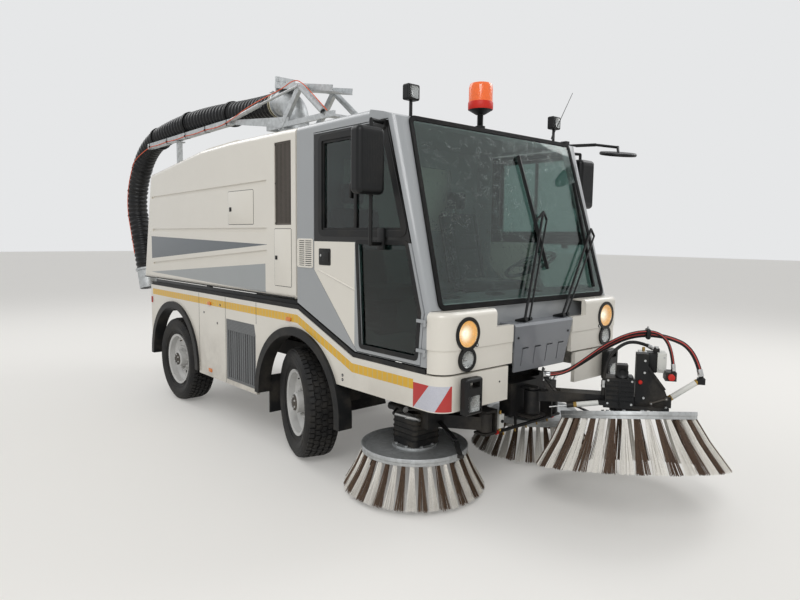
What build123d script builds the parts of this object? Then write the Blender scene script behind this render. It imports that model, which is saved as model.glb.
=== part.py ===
from build123d import *
import math
import os

os.makedirs("parts", exist_ok=True)

# A compact street sweeper truck in millimetres. Front towards -Y, up +Z, the road at z 0,
# y 0 at the front axle. Right means the truck's own right side, towards -X.
# The right side is modelled and mirrored, apart from the roof boom and the front brush arm.

# Where the row's origin lies along the truck, measured from the front axle
origin_y = 650.0

# Overall sizes that the other values follow
wheelbase = 2350.0
body_half_width = 1000.0

# Running gear
tyre_radius = 433.0
tyre_width = 265.0
tread_width = 222.0
rim_flange_radius = 262.0
rim_barrel_radius = 238.0
rim_width = 206.0
rim_wall = 10.0
disc_inset = 95.0
hub_radius = 82.0
hub_length = 92.0
stub_radius = 34.0
running_gap = 0.08
half_track = body_half_width - 136.0
kingpin_x = half_track - 124.0
kingpin_radius = 22.0
steer_rest = -16.6
axle_beam_size = 90.0
rear_axle_radius = 62.0

# Chassis
rail_inner_x = 310.0
rail_outer_x = 380.0
rail_low_z = 590.0
rail_high_z = 740.0
rail_front_y = -1330.0
rail_rear_y = wheelbase + 590.0
rail_web = 12.0
cross_width = 90.0

# Body
cab_rear_y = -40.0
cab_low_z = 965.0
cab_wall = 45.0
cab_front_y = -1457.5
cab_slope_y = -760.0
cab_rear_low_z = 1240.0
roof_z = 2552.0
roof_front_y = -1040.0
screen_low_y = -1470.0
screen_low_z = 1313.0
screen_high_y = -1127.0
screen_high_z = roof_z - 58.0
screen_low_half = body_half_width - 95.0
screen_high_half = body_half_width - 138.0
screen_thickness = 8.0
screen_lap = 30.0
nose_y = -1585.0
nose_corner = 120.0
nose_wall = 40.0
nose_low_z = 932.0
nose_fold_z = 1075.0
nose_high_z = 1302.0
nose_rear_y = -1458.0

# Head lamps: heights and bezel radii
lamp_x = body_half_width - 222.0
work_lamp_x = body_half_width - 214.0
roof_lamp_x = body_half_width - 220.0
lamp_cups = ((1166.0, 104.0), (1010.0, 75.0))
lamp_rim = 22.0

# Doors
door_gap = 6.0
door_thickness = 42.0
door_rear_y = -268.0
door_low_z = 972.0
door_high_z = roof_z - 80.0
door_hinge_y = -1450.0
door_hinge_x = body_half_width + 12.0

# Skirts and arches
skirt_wall = 30.0
skirt_high_z = 1185.0
skirt_front_high_z = 921.0
skirt_front_low_z = 700.0
skirt_mid_low_z = 394.0
skirt_rear_low_z = 440.0
skirt_rear_y = wheelbase + 630.0
skirt_inner_x = 384.0
arch_inner_radius = 540.0
arch_outer_radius = 604.0
arch_centre_z = 440.0
arch_stand_out = 22.0
arch_depth = 95.0

# Hopper
hopper_front_y = -18.0
hopper_low_z = 1255.0
hopper_rear_low_y = wheelbase + 840.0
hopper_rear_high_y = wheelbase + 580.0
hopper_rear_high_z = roof_z - 164.0
hopper_breaks = ((1030.0, 0.0), (1637.0, -20.0), (2106.0, -72.0))
hopper_wall = 45.0
hopper_bulkhead_y = 420.0
tip_hinge_y = wheelbase + 610.0
tip_hinge_z = 1190.0
tip_pin_radius = 25.0
rear_opening_half = 560.0
rear_door_half = 610.0
rear_door_thickness = 45.0

# Roof boom and suction hose
boom_x = -500.0
boom_pivot_y = 750.0
elbow_radius = 118.0
elbow_bend = 200.0
elbow_low_z = roof_z + 103.0
hose_outer = 115.0
hose_inner = 104.0
boom_beam = 56.0

# Suction mouth under the truck
duct_y = 860.0
duct_radius = 104.0

# Side brushes
brush_x = 667.0
brush_y = -1009.0
brush_plate_z = 310.0
brush_plate_radius = 371.0
brush_tip_radius = 494.0
brush_tip_z = 50.0
side_pivot_x = 380.0
side_pivot_y = -1400.0
hub_top = 19.0
seat_gap = 0.3
tuft_pairs = 20

# Front brush
turret_y = -1500.0
front_brush_x = 352.0
front_brush_y = -2026.0
front_brush_z = 565.0
front_plate_radius = 437.0
front_tip_radius = 615.0
front_tuft_drop = 330.0
front_tilt = 15.6
front_tilt_heading = 48.4


def block(x0, x1, y0, y1, z0, z1):
    return Pos((x0 + x1) / 2, (y0 + y1) / 2, (z0 + z1) / 2) * Box(abs(x1 - x0), abs(y1 - y0), abs(z1 - z0))


def rod(start, end, radius):
    axis = Vector(end) - Vector(start)
    return Plane(origin=start, z_dir=axis) * Pos(0, 0, axis.length / 2) * Cylinder(radius, axis.length)


def beam(start, end, width, height):
    """Rectangular bar from start to end, its height as near upright as the bar's slope lets it be."""
    axis = Vector(end) - Vector(start)
    across = axis.cross(Vector(0, 0, 1))
    if across.length < 1:
        across = Vector(1, 0, 0)
    plane = Plane(origin=start, x_dir=across, z_dir=axis)
    return plane * Pos(0, 0, axis.length / 2) * Box(width, height, axis.length)


def side_slab(points, x0, x1):
    """Side-view outline, as (y, z) points, made solid from x0 to x1."""
    face = Plane.YZ.offset(x0) * make_face(Polyline(*points, close=True))
    return extrude(face, amount=x1 - x0, dir=(1, 0, 0))


def plan_slab(points, z0, z1):
    face = Pos(0, 0, z0) * make_face(Polyline(*points, close=True))
    return extrude(face, amount=z1 - z0, dir=(0, 0, 1))


def mirrored(shape):
    return mirror(shape, about=Plane.YZ)


def both(shape):
    return shape + mirrored(shape)


def together(shapes):
    """Compound of the separate solids of several shapes."""
    return Compound([solid for shape in shapes for solid in shape.solids()])


def sized(sign):
    return "right" if sign < 0 else "left"


# Wheels

def tyre():
    half = tyre_width / 2
    bead = rim_width / 2 - 16.5
    seat = rim_barrel_radius + rim_wall + 0.3
    shoulder = tread_width / 2
    with BuildSketch(Plane.XZ) as outline:
        with BuildLine():
            Line((-bead, seat), (bead, seat))
            Line((bead, seat), (bead + 8, rim_flange_radius + 14))
            ThreePointArc((bead + 8, rim_flange_radius + 14), (half, 352), (shoulder + 4, tyre_radius - 18))
            Line((shoulder + 4, tyre_radius - 18), (shoulder - 14, tyre_radius))
            Line((shoulder - 14, tyre_radius), (-shoulder + 14, tyre_radius))
            Line((-shoulder + 14, tyre_radius), (-shoulder - 4, tyre_radius - 18))
            ThreePointArc((-shoulder - 4, tyre_radius - 18), (-half, 352), (-bead - 8, rim_flange_radius + 14))
            Line((-bead - 8, rim_flange_radius + 14), (-bead, seat))
        make_face()
    return revolve(outline.sketch, axis=Axis.X)


def rim():
    """Steel rim for the left side: its dished disc and drive hub face +X."""
    half = rim_width / 2
    outer = rim_flange_radius
    barrel = rim_barrel_radius
    disc_x = half - disc_inset
    profile = [
        (-half, outer), (-half + 12, outer), (-half + 16, barrel + rim_wall), (half - 16, barrel + rim_wall),
        (half - 12, outer), (half, outer), (half - 6, barrel), (disc_x + 34, barrel - 4),
        (disc_x + rim_wall, 200), (disc_x + rim_wall, hub_radius), (disc_x + hub_length, hub_radius),
        (disc_x + hub_length + 8, hub_radius - 14), (disc_x + hub_length + 8, stub_radius + running_gap),
        (disc_x - 24, stub_radius + running_gap), (disc_x - 24, hub_radius + 20), (disc_x, hub_radius + 40),
        (disc_x, 196), (disc_x + 20, barrel - rim_wall), (-half + 8, barrel),
    ]
    face = Plane.XZ * make_face(Polyline(*[(x, r) for x, r in profile], close=True))
    wheel = revolve(face, axis=Axis.X)
    holes = PolarLocations(150, 8)
    for place in holes:
        wheel -= Plane.YZ * place * Cylinder(19, 260)
    return wheel


def wheel_place(sign, front):
    if not front:
        return Pos(sign * half_track, wheelbase, tyre_radius)
    turned = Pos(sign * kingpin_x, 0, tyre_radius) * Rot(0, 0, steer_rest)
    return turned * Pos(sign * (half_track - kingpin_x), 0, 0)


def wheel_turn(sign):
    return Rot(0, 0, 0 if sign > 0 else 180)


def knuckle(sign):
    """C-shaped steering knuckle on its kingpin, with the stub axle that carries the wheel."""
    reach = half_track - kingpin_x
    ear = 34
    shape = block(-46, 60, -46, 46, axle_beam_size / 2 + 4, axle_beam_size / 2 + 4 + ear)
    shape += block(-46, 60, -46, 46, -axle_beam_size / 2 - 4 - ear, -axle_beam_size / 2 - 4)
    shape += block(52, 84, -62, 62, -axle_beam_size / 2 - 4 - ear, axle_beam_size / 2 + 4 + ear)
    shape += Cylinder(kingpin_radius, axle_beam_size + 2 * ear + 30)
    shape += rod((80, 0, 0), (reach + rim_width / 2 - 8, 0, 0), stub_radius)
    shape += block(10, 70, 60, 150, -20, 14)
    if sign < 0:
        shape = mirrored(shape)
    return Pos(sign * kingpin_x, 0, tyre_radius) * Rot(0, 0, steer_rest) * shape


def axles():
    half = axle_beam_size / 2
    front = block(-kingpin_x, kingpin_x, -half + 5, half - 5, tyre_radius - half, tyre_radius + half)
    for sign in (-1, 1):
        front += Pos(sign * kingpin_x, 0, tyre_radius) * Cylinder(half, axle_beam_size)
    for sign in (-1, 1):
        front -= Pos(sign * kingpin_x, 0, tyre_radius) * Cylinder(kingpin_radius + running_gap, 200)
        front += block(sign * rail_inner_x, sign * rail_outer_x, -60, 60, tyre_radius + half, rail_low_z)
    reach = half_track + rim_width / 2 - disc_inset - 26
    rear = rod((-reach, wheelbase, tyre_radius), (reach, wheelbase, tyre_radius), rear_axle_radius)
    rear += Pos(0, wheelbase, tyre_radius) * Rot(90, 0, 0) * Cylinder(165, 210)
    end = half_track + rim_width / 2 - 8
    rear += rod((-end, wheelbase, tyre_radius), (end, wheelbase, tyre_radius), stub_radius)
    for sign in (-1, 1):
        x0, x1 = sign * rail_inner_x, sign * rail_outer_x
        rear += block(x0, x1, wheelbase - 60, wheelbase + 60, tyre_radius + 40, rail_low_z)
    return together([front, rear])


# Chassis

def frame_rails():
    rail = block(rail_inner_x, rail_outer_x, rail_front_y, rail_rear_y, rail_low_z, rail_high_z)
    rail -= block(rail_inner_x - 1, rail_outer_x - rail_web, rail_front_y + 60, rail_rear_y - 60,
                  rail_low_z + rail_web, rail_high_z - rail_web)
    frame = both(rail)
    inner = rail_outer_x - rail_web
    for y in (rail_front_y, -560.0, 520.0, 1990.0, rail_rear_y - 300, rail_rear_y - cross_width):
        frame += block(-inner, inner, y, y + cross_width, rail_low_z + 20, rail_high_z - 20)
    for y in (-1270.0, -860.0):
        frame += both(block(rail_inner_x, rail_outer_x, y, y + 90, rail_high_z - 5, cab_low_z))
    frame += both(block(rail_inner_x, rail_outer_x, 120, 220, rail_high_z - 5, hopper_low_z))
    lug = side_slab([(tip_hinge_y - 150, rail_high_z - 5), (tip_hinge_y - 25, rail_high_z - 5),
                     (tip_hinge_y + 40, tip_hinge_z - 30), (tip_hinge_y + 40, tip_hinge_z + 32),
                     (tip_hinge_y - 45, tip_hinge_z + 32)], rail_inner_x, rail_inner_x + 30)
    frame += both(lug)
    frame += both(rod((rail_inner_x - 15, tip_hinge_y, tip_hinge_z), (rail_outer_x + 25, tip_hinge_y, tip_hinge_z),
                      tip_pin_radius))
    for y, z in ((-1020.0, 830.0), (-680.0, 830.0), (650.0, 880.0), (1500.0, 880.0), (rail_rear_y - 50, 880.0)):
        arm = block(rail_outer_x - 5, body_half_width - skirt_wall, y, y + 50, z, z + 60)
        arm += block(rail_inner_x + 10, rail_outer_x, y, y + 50, rail_high_z - 5, z + 60)
        frame += both(arm)
    return frame


def engine():
    """Plain block for the closed-in engine, on lugs that rest on the rails."""
    block_y = (1130.0, 1930.0)
    shape = block(-285, 285, block_y[0], block_y[1], 612, 1120)
    for y in (block_y[0] + 60, block_y[1] - 120):
        shape += block(-rail_outer_x, rail_outer_x, y, y + 60, rail_high_z, rail_high_z + 34)
    return shape


# Cab

def cab_outline(grow):
    """Side outline of the cab, moved outwards by grow."""
    return [
        (cab_rear_y + grow, cab_rear_low_z - grow), (cab_rear_y + grow, roof_z + grow),
        (-880, roof_z + 6 + grow), (roof_front_y - grow * 0.3, roof_z - 28 + grow),
        (screen_high_y - grow, screen_high_z + grow * 0.3),
        (screen_low_y - grow, screen_low_z - 8), (cab_front_y - grow, screen_low_z - 8),
        (cab_front_y - grow, cab_low_z - grow), (cab_slope_y, cab_low_z - grow),
    ]


def cab_inside():
    """Side outline of the cab's hollow: floor, rear wall, roof lining, windscreen and bulkhead."""
    slope = (cab_rear_low_z - cab_low_z) / (cab_rear_y - cab_slope_y)
    rear = cab_rear_y - cab_wall
    floor = cab_low_z + cab_wall
    return [
        (rear, floor + slope * (rear - cab_slope_y)), (rear, roof_z - cab_wall), (-1000, roof_z - cab_wall - 4),
        (screen_high_y + 44, screen_high_z - 22), (screen_low_y + 50, screen_low_z + 8),
        (cab_front_y + cab_wall, screen_low_z - 30), (cab_front_y + cab_wall, floor), (cab_slope_y, floor),
    ]


def door_outline(grow):
    return [
        (door_rear_y + grow, 1500), (door_rear_y + grow, door_high_z + grow),
        (-1078 - grow * 0.6, door_high_z + grow), (-1428 - grow, 1290), (-1402 - grow, door_low_z - grow),
        (-780, door_low_z - grow),
    ]


upper_window = [(-352, 1772), (-352, roof_z - 130), (-1042, roof_z - 130), (-1248, 1772)]
lower_window = [(-775, 1706), (-820, 1012), (-1366, 1012), (-1390, 1290), (-1267, 1706)]


def screen_face(grow, offset):
    low = Vector(0, screen_low_y, screen_low_z)
    high = Vector(0, screen_high_y, screen_high_z)
    plane = Plane(origin=low, x_dir=(1, 0, 0), z_dir=(0, -(high - low).Z, (high - low).Y))
    height = (high - low).length
    points = [(-screen_low_half - grow, -grow), (screen_low_half + grow, -grow),
              (screen_high_half + grow, height + grow), (-screen_high_half - grow, height + grow)]
    return plane.offset(offset) * make_face(Polyline(*points, close=True)), plane.z_dir


def windscreen():
    face, outward = screen_face(0, 0.3)
    glass = extrude(face, amount=screen_thickness, dir=outward)
    corners = glass.edges().filter_by(lambda edge: edge.length < screen_thickness + 1)
    return fillet(corners, 45)


def cab_shell():
    shell = side_slab(cab_outline(0), -body_half_width, body_half_width)
    pillars = shell.edges().filter_by(lambda e: abs(abs(e.center().X) - body_half_width) < 1
                                      and e.center().Y < -1200 and e.center().Z > 1310 and e.length > 100)
    shell = fillet(pillars, 70)
    top = shell.edges().filter_by(lambda e: abs(abs(e.center().X) - body_half_width) < 1
                                  and e.center().Z > roof_z - 40 and e.length > 500)
    shell = fillet(top, 45)
    inner = body_half_width - cab_wall
    shell -= side_slab(cab_inside(), -inner, inner)
    face, outward = screen_face(-screen_lap, -90)
    shell -= extrude(face, amount=180, dir=outward)
    opening = side_slab(door_outline(door_gap), inner - 60, body_half_width + 10)
    shell -= opening
    shell -= mirrored(opening)
    shell -= block(-600, 600, cab_rear_y - 100, cab_rear_y + 20, 1800, roof_z - 202)
    return shell + both(hinge_barrels(False))


def hinge_barrels(moving):
    """Two low door hinges on the left side: the fixed barrel with its pin, or the door's barrel and leaf."""
    x, y = door_hinge_x, door_hinge_y
    parts = []
    for z in (1035.0, 1215.0):
        if moving:
            barrel = Pos(x, y, z + 30 + seat_gap) * Cylinder(9, 20)
            barrel += block(x - 5, x + 2, y, y + 70, z + 20 + seat_gap, z + 40 + seat_gap)
            barrel += block(body_half_width - 10, x + 2, y + 50, y + 70, z + 20 + seat_gap, z + 40 + seat_gap)
            barrel -= Pos(x, y, z + 20) * Cylinder(4 + running_gap, 60)
        else:
            barrel = Pos(x, y, z + 10) * Cylinder(9, 20) + Pos(x, y, z + 21) * Cylinder(4, 42)
            barrel += block(body_half_width - 20, x, y - 5, y + 5, z, z + 20)
        parts.append(barrel)
    return parts[0] + parts[1]


def seats():
    seat = block(330, 830, -820, -360, 1290, 1390)
    seat = fillet(seat.edges(), 30)
    back = side_slab([(-400, 1340), (-290, 1325), (-160, 1960), (-240, 1980)], 350, 810)
    back = fillet(back.edges(), 25)
    head = fillet(block(480, 680, -215, -135, 1990, 2150).edges(), 20)
    post = rod((580, -190, 1940), (580, -178, 2010), 12)
    slope = (cab_rear_low_z - cab_low_z) / (cab_rear_y - cab_slope_y)
    floor = cab_low_z + cab_wall + 0.3
    base = side_slab([(-700, floor + slope * 60), (-700, 1300), (-440, 1300), (-440, floor + slope * 320)], 430, 730)
    return both(seat + back + head + post + base)


def dashboard():
    inner = body_half_width - cab_wall - 4
    front = cab_front_y + cab_wall + 2
    floor = cab_low_z + cab_wall + 0.3
    dash = side_slab([(front, floor), (front, 1282), (-1380, 1345), (-1250, 1372), (-1140, 1330),
                      (-1130, 1180), (-1260, 1100), (-1290, floor)], -inner, inner)
    well = block(-inner - 5, -330, -1330, -1120, cab_low_z, 1150)
    dash -= well
    dash -= mirrored(well)
    centre = (580.0, -1010.0, 1530.0)
    plane = Plane(origin=centre, z_dir=(0, 150, 272))
    column = rod((580, -1230, 1180), centre, 30)
    wheel = plane * Torus(205, 15)
    hub = plane * Cylinder(62, 34)
    for angle in (90, 210, 330):
        hub += plane * Rot(0, 0, angle) * Pos(115, 0, 0) * Box(190, 30, 12)
    return dash + column + wheel + hub


def nose_plan(inset, centre):
    """Plan outline of the nose, from the corner piece round to the middle."""
    half = body_half_width - inset
    front = nose_y + inset
    radius = nose_corner - inset
    line = Polyline((centre, front), (half - radius, front))
    line += ThreePointArc((half - radius, front),
                          (half - radius * 0.2929, front + radius * 0.2929), (half, front + radius))
    line += Line((half, front + radius), (half, nose_rear_y))
    return line


def nose_solid(z0, z1, inset, centre):
    """Solid nose block between two heights, as far back as the cab."""
    outer = nose_plan(inset, centre)
    back = Polyline((body_half_width - inset, nose_rear_y), (centre, nose_rear_y), (centre, nose_y + inset))
    face = Pos(0, 0, z0) * make_face((outer + back).edges())
    return extrude(face, amount=z1 - z0, dir=(0, 0, 1))


def nose_band(z0, z1, inset, wall, centre):
    """Wall that follows the nose plan between two heights."""
    outer = nose_plan(inset, centre)
    inner = nose_plan(inset + wall, centre)
    ends = Line((centre, nose_y + inset), (centre, nose_y + inset + wall))
    ends += Line((body_half_width - inset, nose_rear_y), (body_half_width - inset - wall, nose_rear_y))
    face = Pos(0, 0, z0) * make_face((outer + inner + ends).edges())
    return extrude(face, amount=z1 - z0, dir=(0, 0, 1))


def cab_front():
    """Right and left nose panels: lamps, a fold half-way down, and a closed top behind a rounded edge."""
    upper = nose_solid(nose_fold_z, nose_high_z, 0, 330)
    round_over = upper.edges().filter_by(lambda e: abs(e.center().Z - nose_high_z) < 1
                                         and e.center().Y < nose_rear_y - 5 and e.center().X > 340)
    upper = fillet(round_over, 34)
    upper -= nose_solid(nose_fold_z - 1, nose_high_z - 14, nose_wall, 300)
    lower = nose_solid(nose_low_z, nose_fold_z, 6, 300) - nose_solid(nose_low_z - 1, nose_fold_z + 1, nose_wall, 290)
    panel = upper + lower
    panel -= block(300, 505, nose_y - 10, nose_rear_y + 10, 1186.5, nose_high_z + 10)
    for z, radius in lamp_cups:
        panel -= Pos(lamp_x, -1560, z) * Rot(90, 0, 0) * Cylinder(radius + 0.5, 200)
    panel -= block(-60, 338, nose_y - 10, nose_rear_y + 10, 850, 1186.5)
    return together([panel, mirrored(panel)])


def centre_panel():
    """Folded grey cover between the two nose panels, with four hockey-stick slots, and the shelf above it."""
    face = side_slab([(-1592, 1168), (-1580, 1172), (-1540, 858), (-1552, 856)], -326, 326)
    shelf = side_slab([(-1592, 1168), (-1580, 1186), (nose_rear_y, 1186), (nose_rear_y, 1174), (-1582, 1174)],
                      -326, 326)
    panel = face + shelf
    taper_cut = Plane.XZ * make_face(Polyline((326, 1165), (282, 850), (400, 850), (400, 1165), close=True))
    cut = extrude(taper_cut, amount=1800, dir=(0, -1, 0))
    panel -= cut
    panel -= mirrored(cut)
    for x in (-215.0, -80.0, 55.0, 190.0):
        slot = block(x, x + 62, -1700, -1500, 1010, 1020)
        slot += block(x - 8, x + 2, -1700, -1500, 895, 1020)
        panel -= slot
    return panel


# Skirts

def skirt_side():
    outline = [
        (skirt_rear_y, skirt_high_z), (-33, skirt_high_z), (-727, skirt_front_high_z),
        (nose_rear_y + 12, skirt_front_high_z), (nose_rear_y + 12, skirt_front_low_z), (-500, skirt_front_low_z),
        (-500, skirt_mid_low_z), (wheelbase + 40, skirt_mid_low_z), (wheelbase + 40, skirt_rear_low_z),
        (skirt_rear_y, skirt_rear_low_z),
    ]
    side = side_slab(outline, body_half_width - skirt_wall, body_half_width)
    clear = arch_outer_radius + 0.3
    for y in (0.0, wheelbase):
        side -= Pos(body_half_width, y, arch_centre_z) * Rot(0, 90, 0) * Cylinder(clear, 200)
        side -= block(body_half_width - 100, body_half_width + 100, y - clear, y + clear, 0, arch_centre_z)
    side -= side_slab(side_grille_outline(0), body_half_width - 100, body_half_width + 10)
    return side


def side_grille_outline(inset):
    return [(616 + inset, 436 + inset), (1158 - inset, 436 + inset), (1158 - inset, 990 - inset),
            (640 + inset, 990 - inset), (616 + inset, 900)]


def skirts():
    side = skirt_side()
    nose = nose_band(skirt_front_low_z, skirt_front_high_z, 0, skirt_wall, skirt_inner_x)
    front = nose + block(body_half_width - skirt_wall, body_half_width, nose_rear_y - 1, nose_rear_y + 14,
                         skirt_front_low_z, skirt_front_high_z)
    skirt = side + front
    return together([skirt, mirrored(skirt)])


def side_grilles():
    panel = side_slab(side_grille_outline(0.5), body_half_width - 26, body_half_width - 2)
    slots = 13
    pitch = 510.0 / slots
    for i in range(slots):
        y = 634 + i * pitch
        panel -= block(body_half_width - 12, body_half_width, y, y + pitch * 0.5, 460, 890)
    return together([panel, mirrored(panel)])


def arch(y, front_foot_z, rear_foot_z):
    ring = Circle(arch_outer_radius) - Circle(arch_inner_radius)
    ring -= Pos(0, -arch_outer_radius) * Rectangle(3 * arch_outer_radius, 2 * arch_outer_radius)
    middle = (arch_inner_radius + arch_outer_radius) / 2
    band = arch_outer_radius - arch_inner_radius
    for side, foot in ((-1, front_foot_z), (1, rear_foot_z)):
        drop = arch_centre_z - foot
        ring += Pos(side * middle, -drop / 2 + 1) * Rectangle(band, drop + 2)
    face = Plane.YZ.offset(body_half_width - arch_depth) * Pos(y, arch_centre_z) * ring
    return extrude(face, amount=arch_depth + arch_stand_out, dir=(1, 0, 0))


def wheel_arches():
    front = arch(0, 372, 425)
    rear = arch(wheelbase, 413, 425)
    return together([front, rear, mirrored(front), mirrored(rear)])


def mudflaps():
    flaps = []
    inner = half_track - tyre_width / 2
    for y in (arch_inner_radius + 12, wheelbase + arch_inner_radius + 12):
        flap = block(inner, body_half_width - arch_depth - 0.5, y, y + 14, 235, 560)
        flap += block(rail_outer_x + 0.5, inner + 25, y, y + 14, 520, 560)
        flap += block(rail_outer_x + 0.5, rail_outer_x + 30, y, y + 14, 520, 640)
        flaps += [flap, mirrored(flap)]
    return together(flaps)


# Lamps, mirrors, wipers

def lamp_housings():
    bezel = [Pos(lamp_x, -1560, z) * Rot(90, 0, 0) * Cylinder(radius, 66) for z, radius in lamp_cups]
    bezel = bezel[0] + bezel[1]
    for z, radius in lamp_cups:
        bezel -= Pos(lamp_x, -1590, z) * Rot(90, 0, 0) * Cylinder(radius - lamp_rim, 60)
    work = Pos(work_lamp_x, -1632, 796) * Box(150, 60, 226)
    work = fillet(work.edges(), 16)
    work -= Pos(work_lamp_x, -1662, 752) * Box(112, 40, 100)
    work -= Pos(work_lamp_x, -1640, 868) * Box(86, 90, 36)
    work += block(work_lamp_x - 26, work_lamp_x + 26, -1605, nose_y - 0.3, 780, 830)
    lamp_z = roof_z + 116
    roof = Pos(roof_lamp_x, -1052, lamp_z) * Box(104, 62, 100)
    roof = fillet(roof.edges(), 12)
    roof += rod((roof_lamp_x, -1050, roof_z - 48), (roof_lamp_x, -1050, lamp_z - 46), 11)
    roof -= side_slab(cab_outline(0.3), -body_half_width, body_half_width)
    roof -= Pos(roof_lamp_x, -1083, lamp_z) * Box(82, 16, 78)
    return together([piece for shape in (bezel, work, roof) for piece in (shape, mirrored(shape))])


def lamp_lenses():
    lenses = []
    for z, radius in lamp_cups:
        lenses.append(Pos(lamp_x, -1577, z) * Rot(90, 0, 0) * Cylinder(radius - lamp_rim - 0.3, 33))
    lenses.append(Pos(work_lamp_x, -1651, 752) * Box(111.4, 17.4, 99.4))
    lenses.append(Pos(roof_lamp_x, -1078.3, roof_z + 116) * Box(81.4, 6, 77.4))
    outer = body_half_width - skirt_wall - 0.3
    lenses.append(block(outer - 99.7, outer - 29.7, skirt_rear_y + 20, skirt_rear_y + 50, 760, 1060)
                  + block(outer - 89.7, outer, skirt_rear_y - 40, skirt_rear_y + 21, 780, 1040))
    return together([piece for shape in lenses for piece in (shape, mirrored(shape))])


def door_mirror():
    head = block(body_half_width + 60, body_half_width + 270, -1142, -1040, 2000, 2405)
    head = fillet(head.edges(), 34)
    foot_x = body_half_width + 0.3
    tube_x = body_half_width + 130
    tube = rod((tube_x, -1080, 2452), (tube_x, -1080, 1690), 12)
    arms = []
    for z in (2452.0, 1700.0):
        arms.append(rod((foot_x + 5, -1040, z), (tube_x + 2, -1080, z), 12))
        arms.append(block(foot_x, foot_x + 14, -1068, -1012, z - 30, z + 18))
    return head + tube + arms


def kerb_mirror():
    disc = Pos(body_half_width + 175, -1400, 2430) * Rot(10, -6, 0) * Cylinder(145, 26)
    disc = fillet(disc.edges(), 11)
    route = [(body_half_width - 75, -1075, 2500), (body_half_width + 130, -1220, 2517),
             (body_half_width + 250, -1352, 2496), (body_half_width + 189, -1396, 2440)]
    arm = rod(route[0], route[1], 13)
    for start, end in zip(route[1:], route[2:]):
        arm += rod(start, end, 11)
        arm += Pos(*start) * Sphere(13)
    foot = block(body_half_width - 110, body_half_width - 65, -1100, -1045, 2480, 2535)
    foot -= side_slab(cab_outline(0.3), 0, body_half_width)
    return disc + (arm - side_slab(cab_outline(0.3), 0, body_half_width)) + foot


def on_screen(x, up, out):
    """Point on the windscreen: x across, up along the glass from its low edge, out from its face."""
    low = Vector(0, screen_low_y, screen_low_z)
    high = Vector(0, screen_high_y, screen_high_z)
    rise = (high - low).normalized()
    outward = Vector(0, -rise.Z, rise.Y)
    point = low + rise * up + outward * (screen_thickness + 0.3 + out)
    return (x, point.Y, point.Z)


def wipers():
    """Two parallelogram wipers, each with two arm tubes and an upright blade."""
    solids = []
    for base_x, mid_x, mid_up, blade_top, blade_low in (
            (-185.0, 290.0, 640.0, (150.0, 1065.0), (225.0, 215.0)),
            (250.0, 880.0, 520.0, (800.0, 900.0), (770.0, 60.0))):
        wiper = rod(on_screen(base_x, -128, 44), on_screen(mid_x, mid_up, 34), 9)
        wiper += rod(on_screen(base_x + 50, -128, 44), on_screen(mid_x + 22, mid_up - 60, 34), 7)
        wiper += rod(on_screen(base_x, -128, 60), on_screen(base_x, -128, -30), 16)
        wiper += rod(on_screen(base_x + 50, -128, 60), on_screen(base_x + 50, -128, -30), 13)
        share = 0.42
        blade_x = blade_low[0] + (blade_top[0] - blade_low[0]) * share
        blade_up = blade_low[1] + (blade_top[1] - blade_low[1]) * share
        wiper += rod(on_screen(mid_x, mid_up, 34), on_screen(blade_x, blade_up, 24), 9)
        wiper += rod(on_screen(mid_x + 22, mid_up - 60, 34), on_screen(mid_x, mid_up, 34), 9)
        wiper -= block(-1000, 1000, -1700, -1400, 1000, 1186.8)
        wiper += beam(on_screen(blade_low[0], blade_low[1], 15), on_screen(blade_top[0], blade_top[1], 15), 14, 24)
        solids.append(wiper)
    return together(solids)


def beacon():
    stem = Pos(0, -954, 2580) * Cylinder(24, 140)
    foot = Pos(0, -954, 2545) * Cylinder(38, 34)
    base = Pos(0, -954, 2662) * Cone(34, 88, 34)
    dome = Pos(0, -954, 2774) * Cylinder(86, 190)
    dome = fillet(dome.edges().group_by(Axis.Z)[-1], 22)
    skirt = Pos(0, -954, 2706) * Cylinder(92, 56)
    return foot + stem - side_slab(cab_outline(0.3), -200, 200) + base + dome + skirt


# Hopper

def hopper_outline(inset):
    return [
        (hopper_front_y + inset, hopper_low_z + inset), (hopper_front_y + inset, roof_z - 4 - inset),
        (150, roof_z - inset), *[(y, roof_z + drop - inset) for y, drop in hopper_breaks],
        (hopper_rear_high_y - inset * 0.9, hopper_rear_high_z - inset * 0.9),
        (hopper_rear_low_y - inset * 0.9, hopper_low_z + inset),
    ]


intake_outline = [(45, 1826), (290, 1826), (290, roof_z - 90), (45, roof_z - 90)]
# Long recessed ribs of the hopper side: front low, front high, rear low, rear high edge heights
side_ribs = (
    (roof_z - 402, roof_z - 366, roof_z - 428, roof_z - 406),
    (1770.0, 1806.0, 1772.0, 1800.0),
    (1586.0, 1628.0, 1414.0, 1436.0),
)
rib_front_y = 415.0
rib_rear_y = hopper_rear_high_y - 40.0
rib_depth = 12.0


def rear_plane():
    """Plane of the hopper's rear face: x across, y up the slope, z out of the face."""
    up = Vector(0, hopper_rear_high_y - hopper_rear_low_y, hopper_rear_high_z - hopper_low_z)
    return Plane(origin=(0, hopper_rear_low_y, hopper_low_z), x_dir=(-1, 0, 0), z_dir=(0, up.Z, -up.Y))


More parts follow.
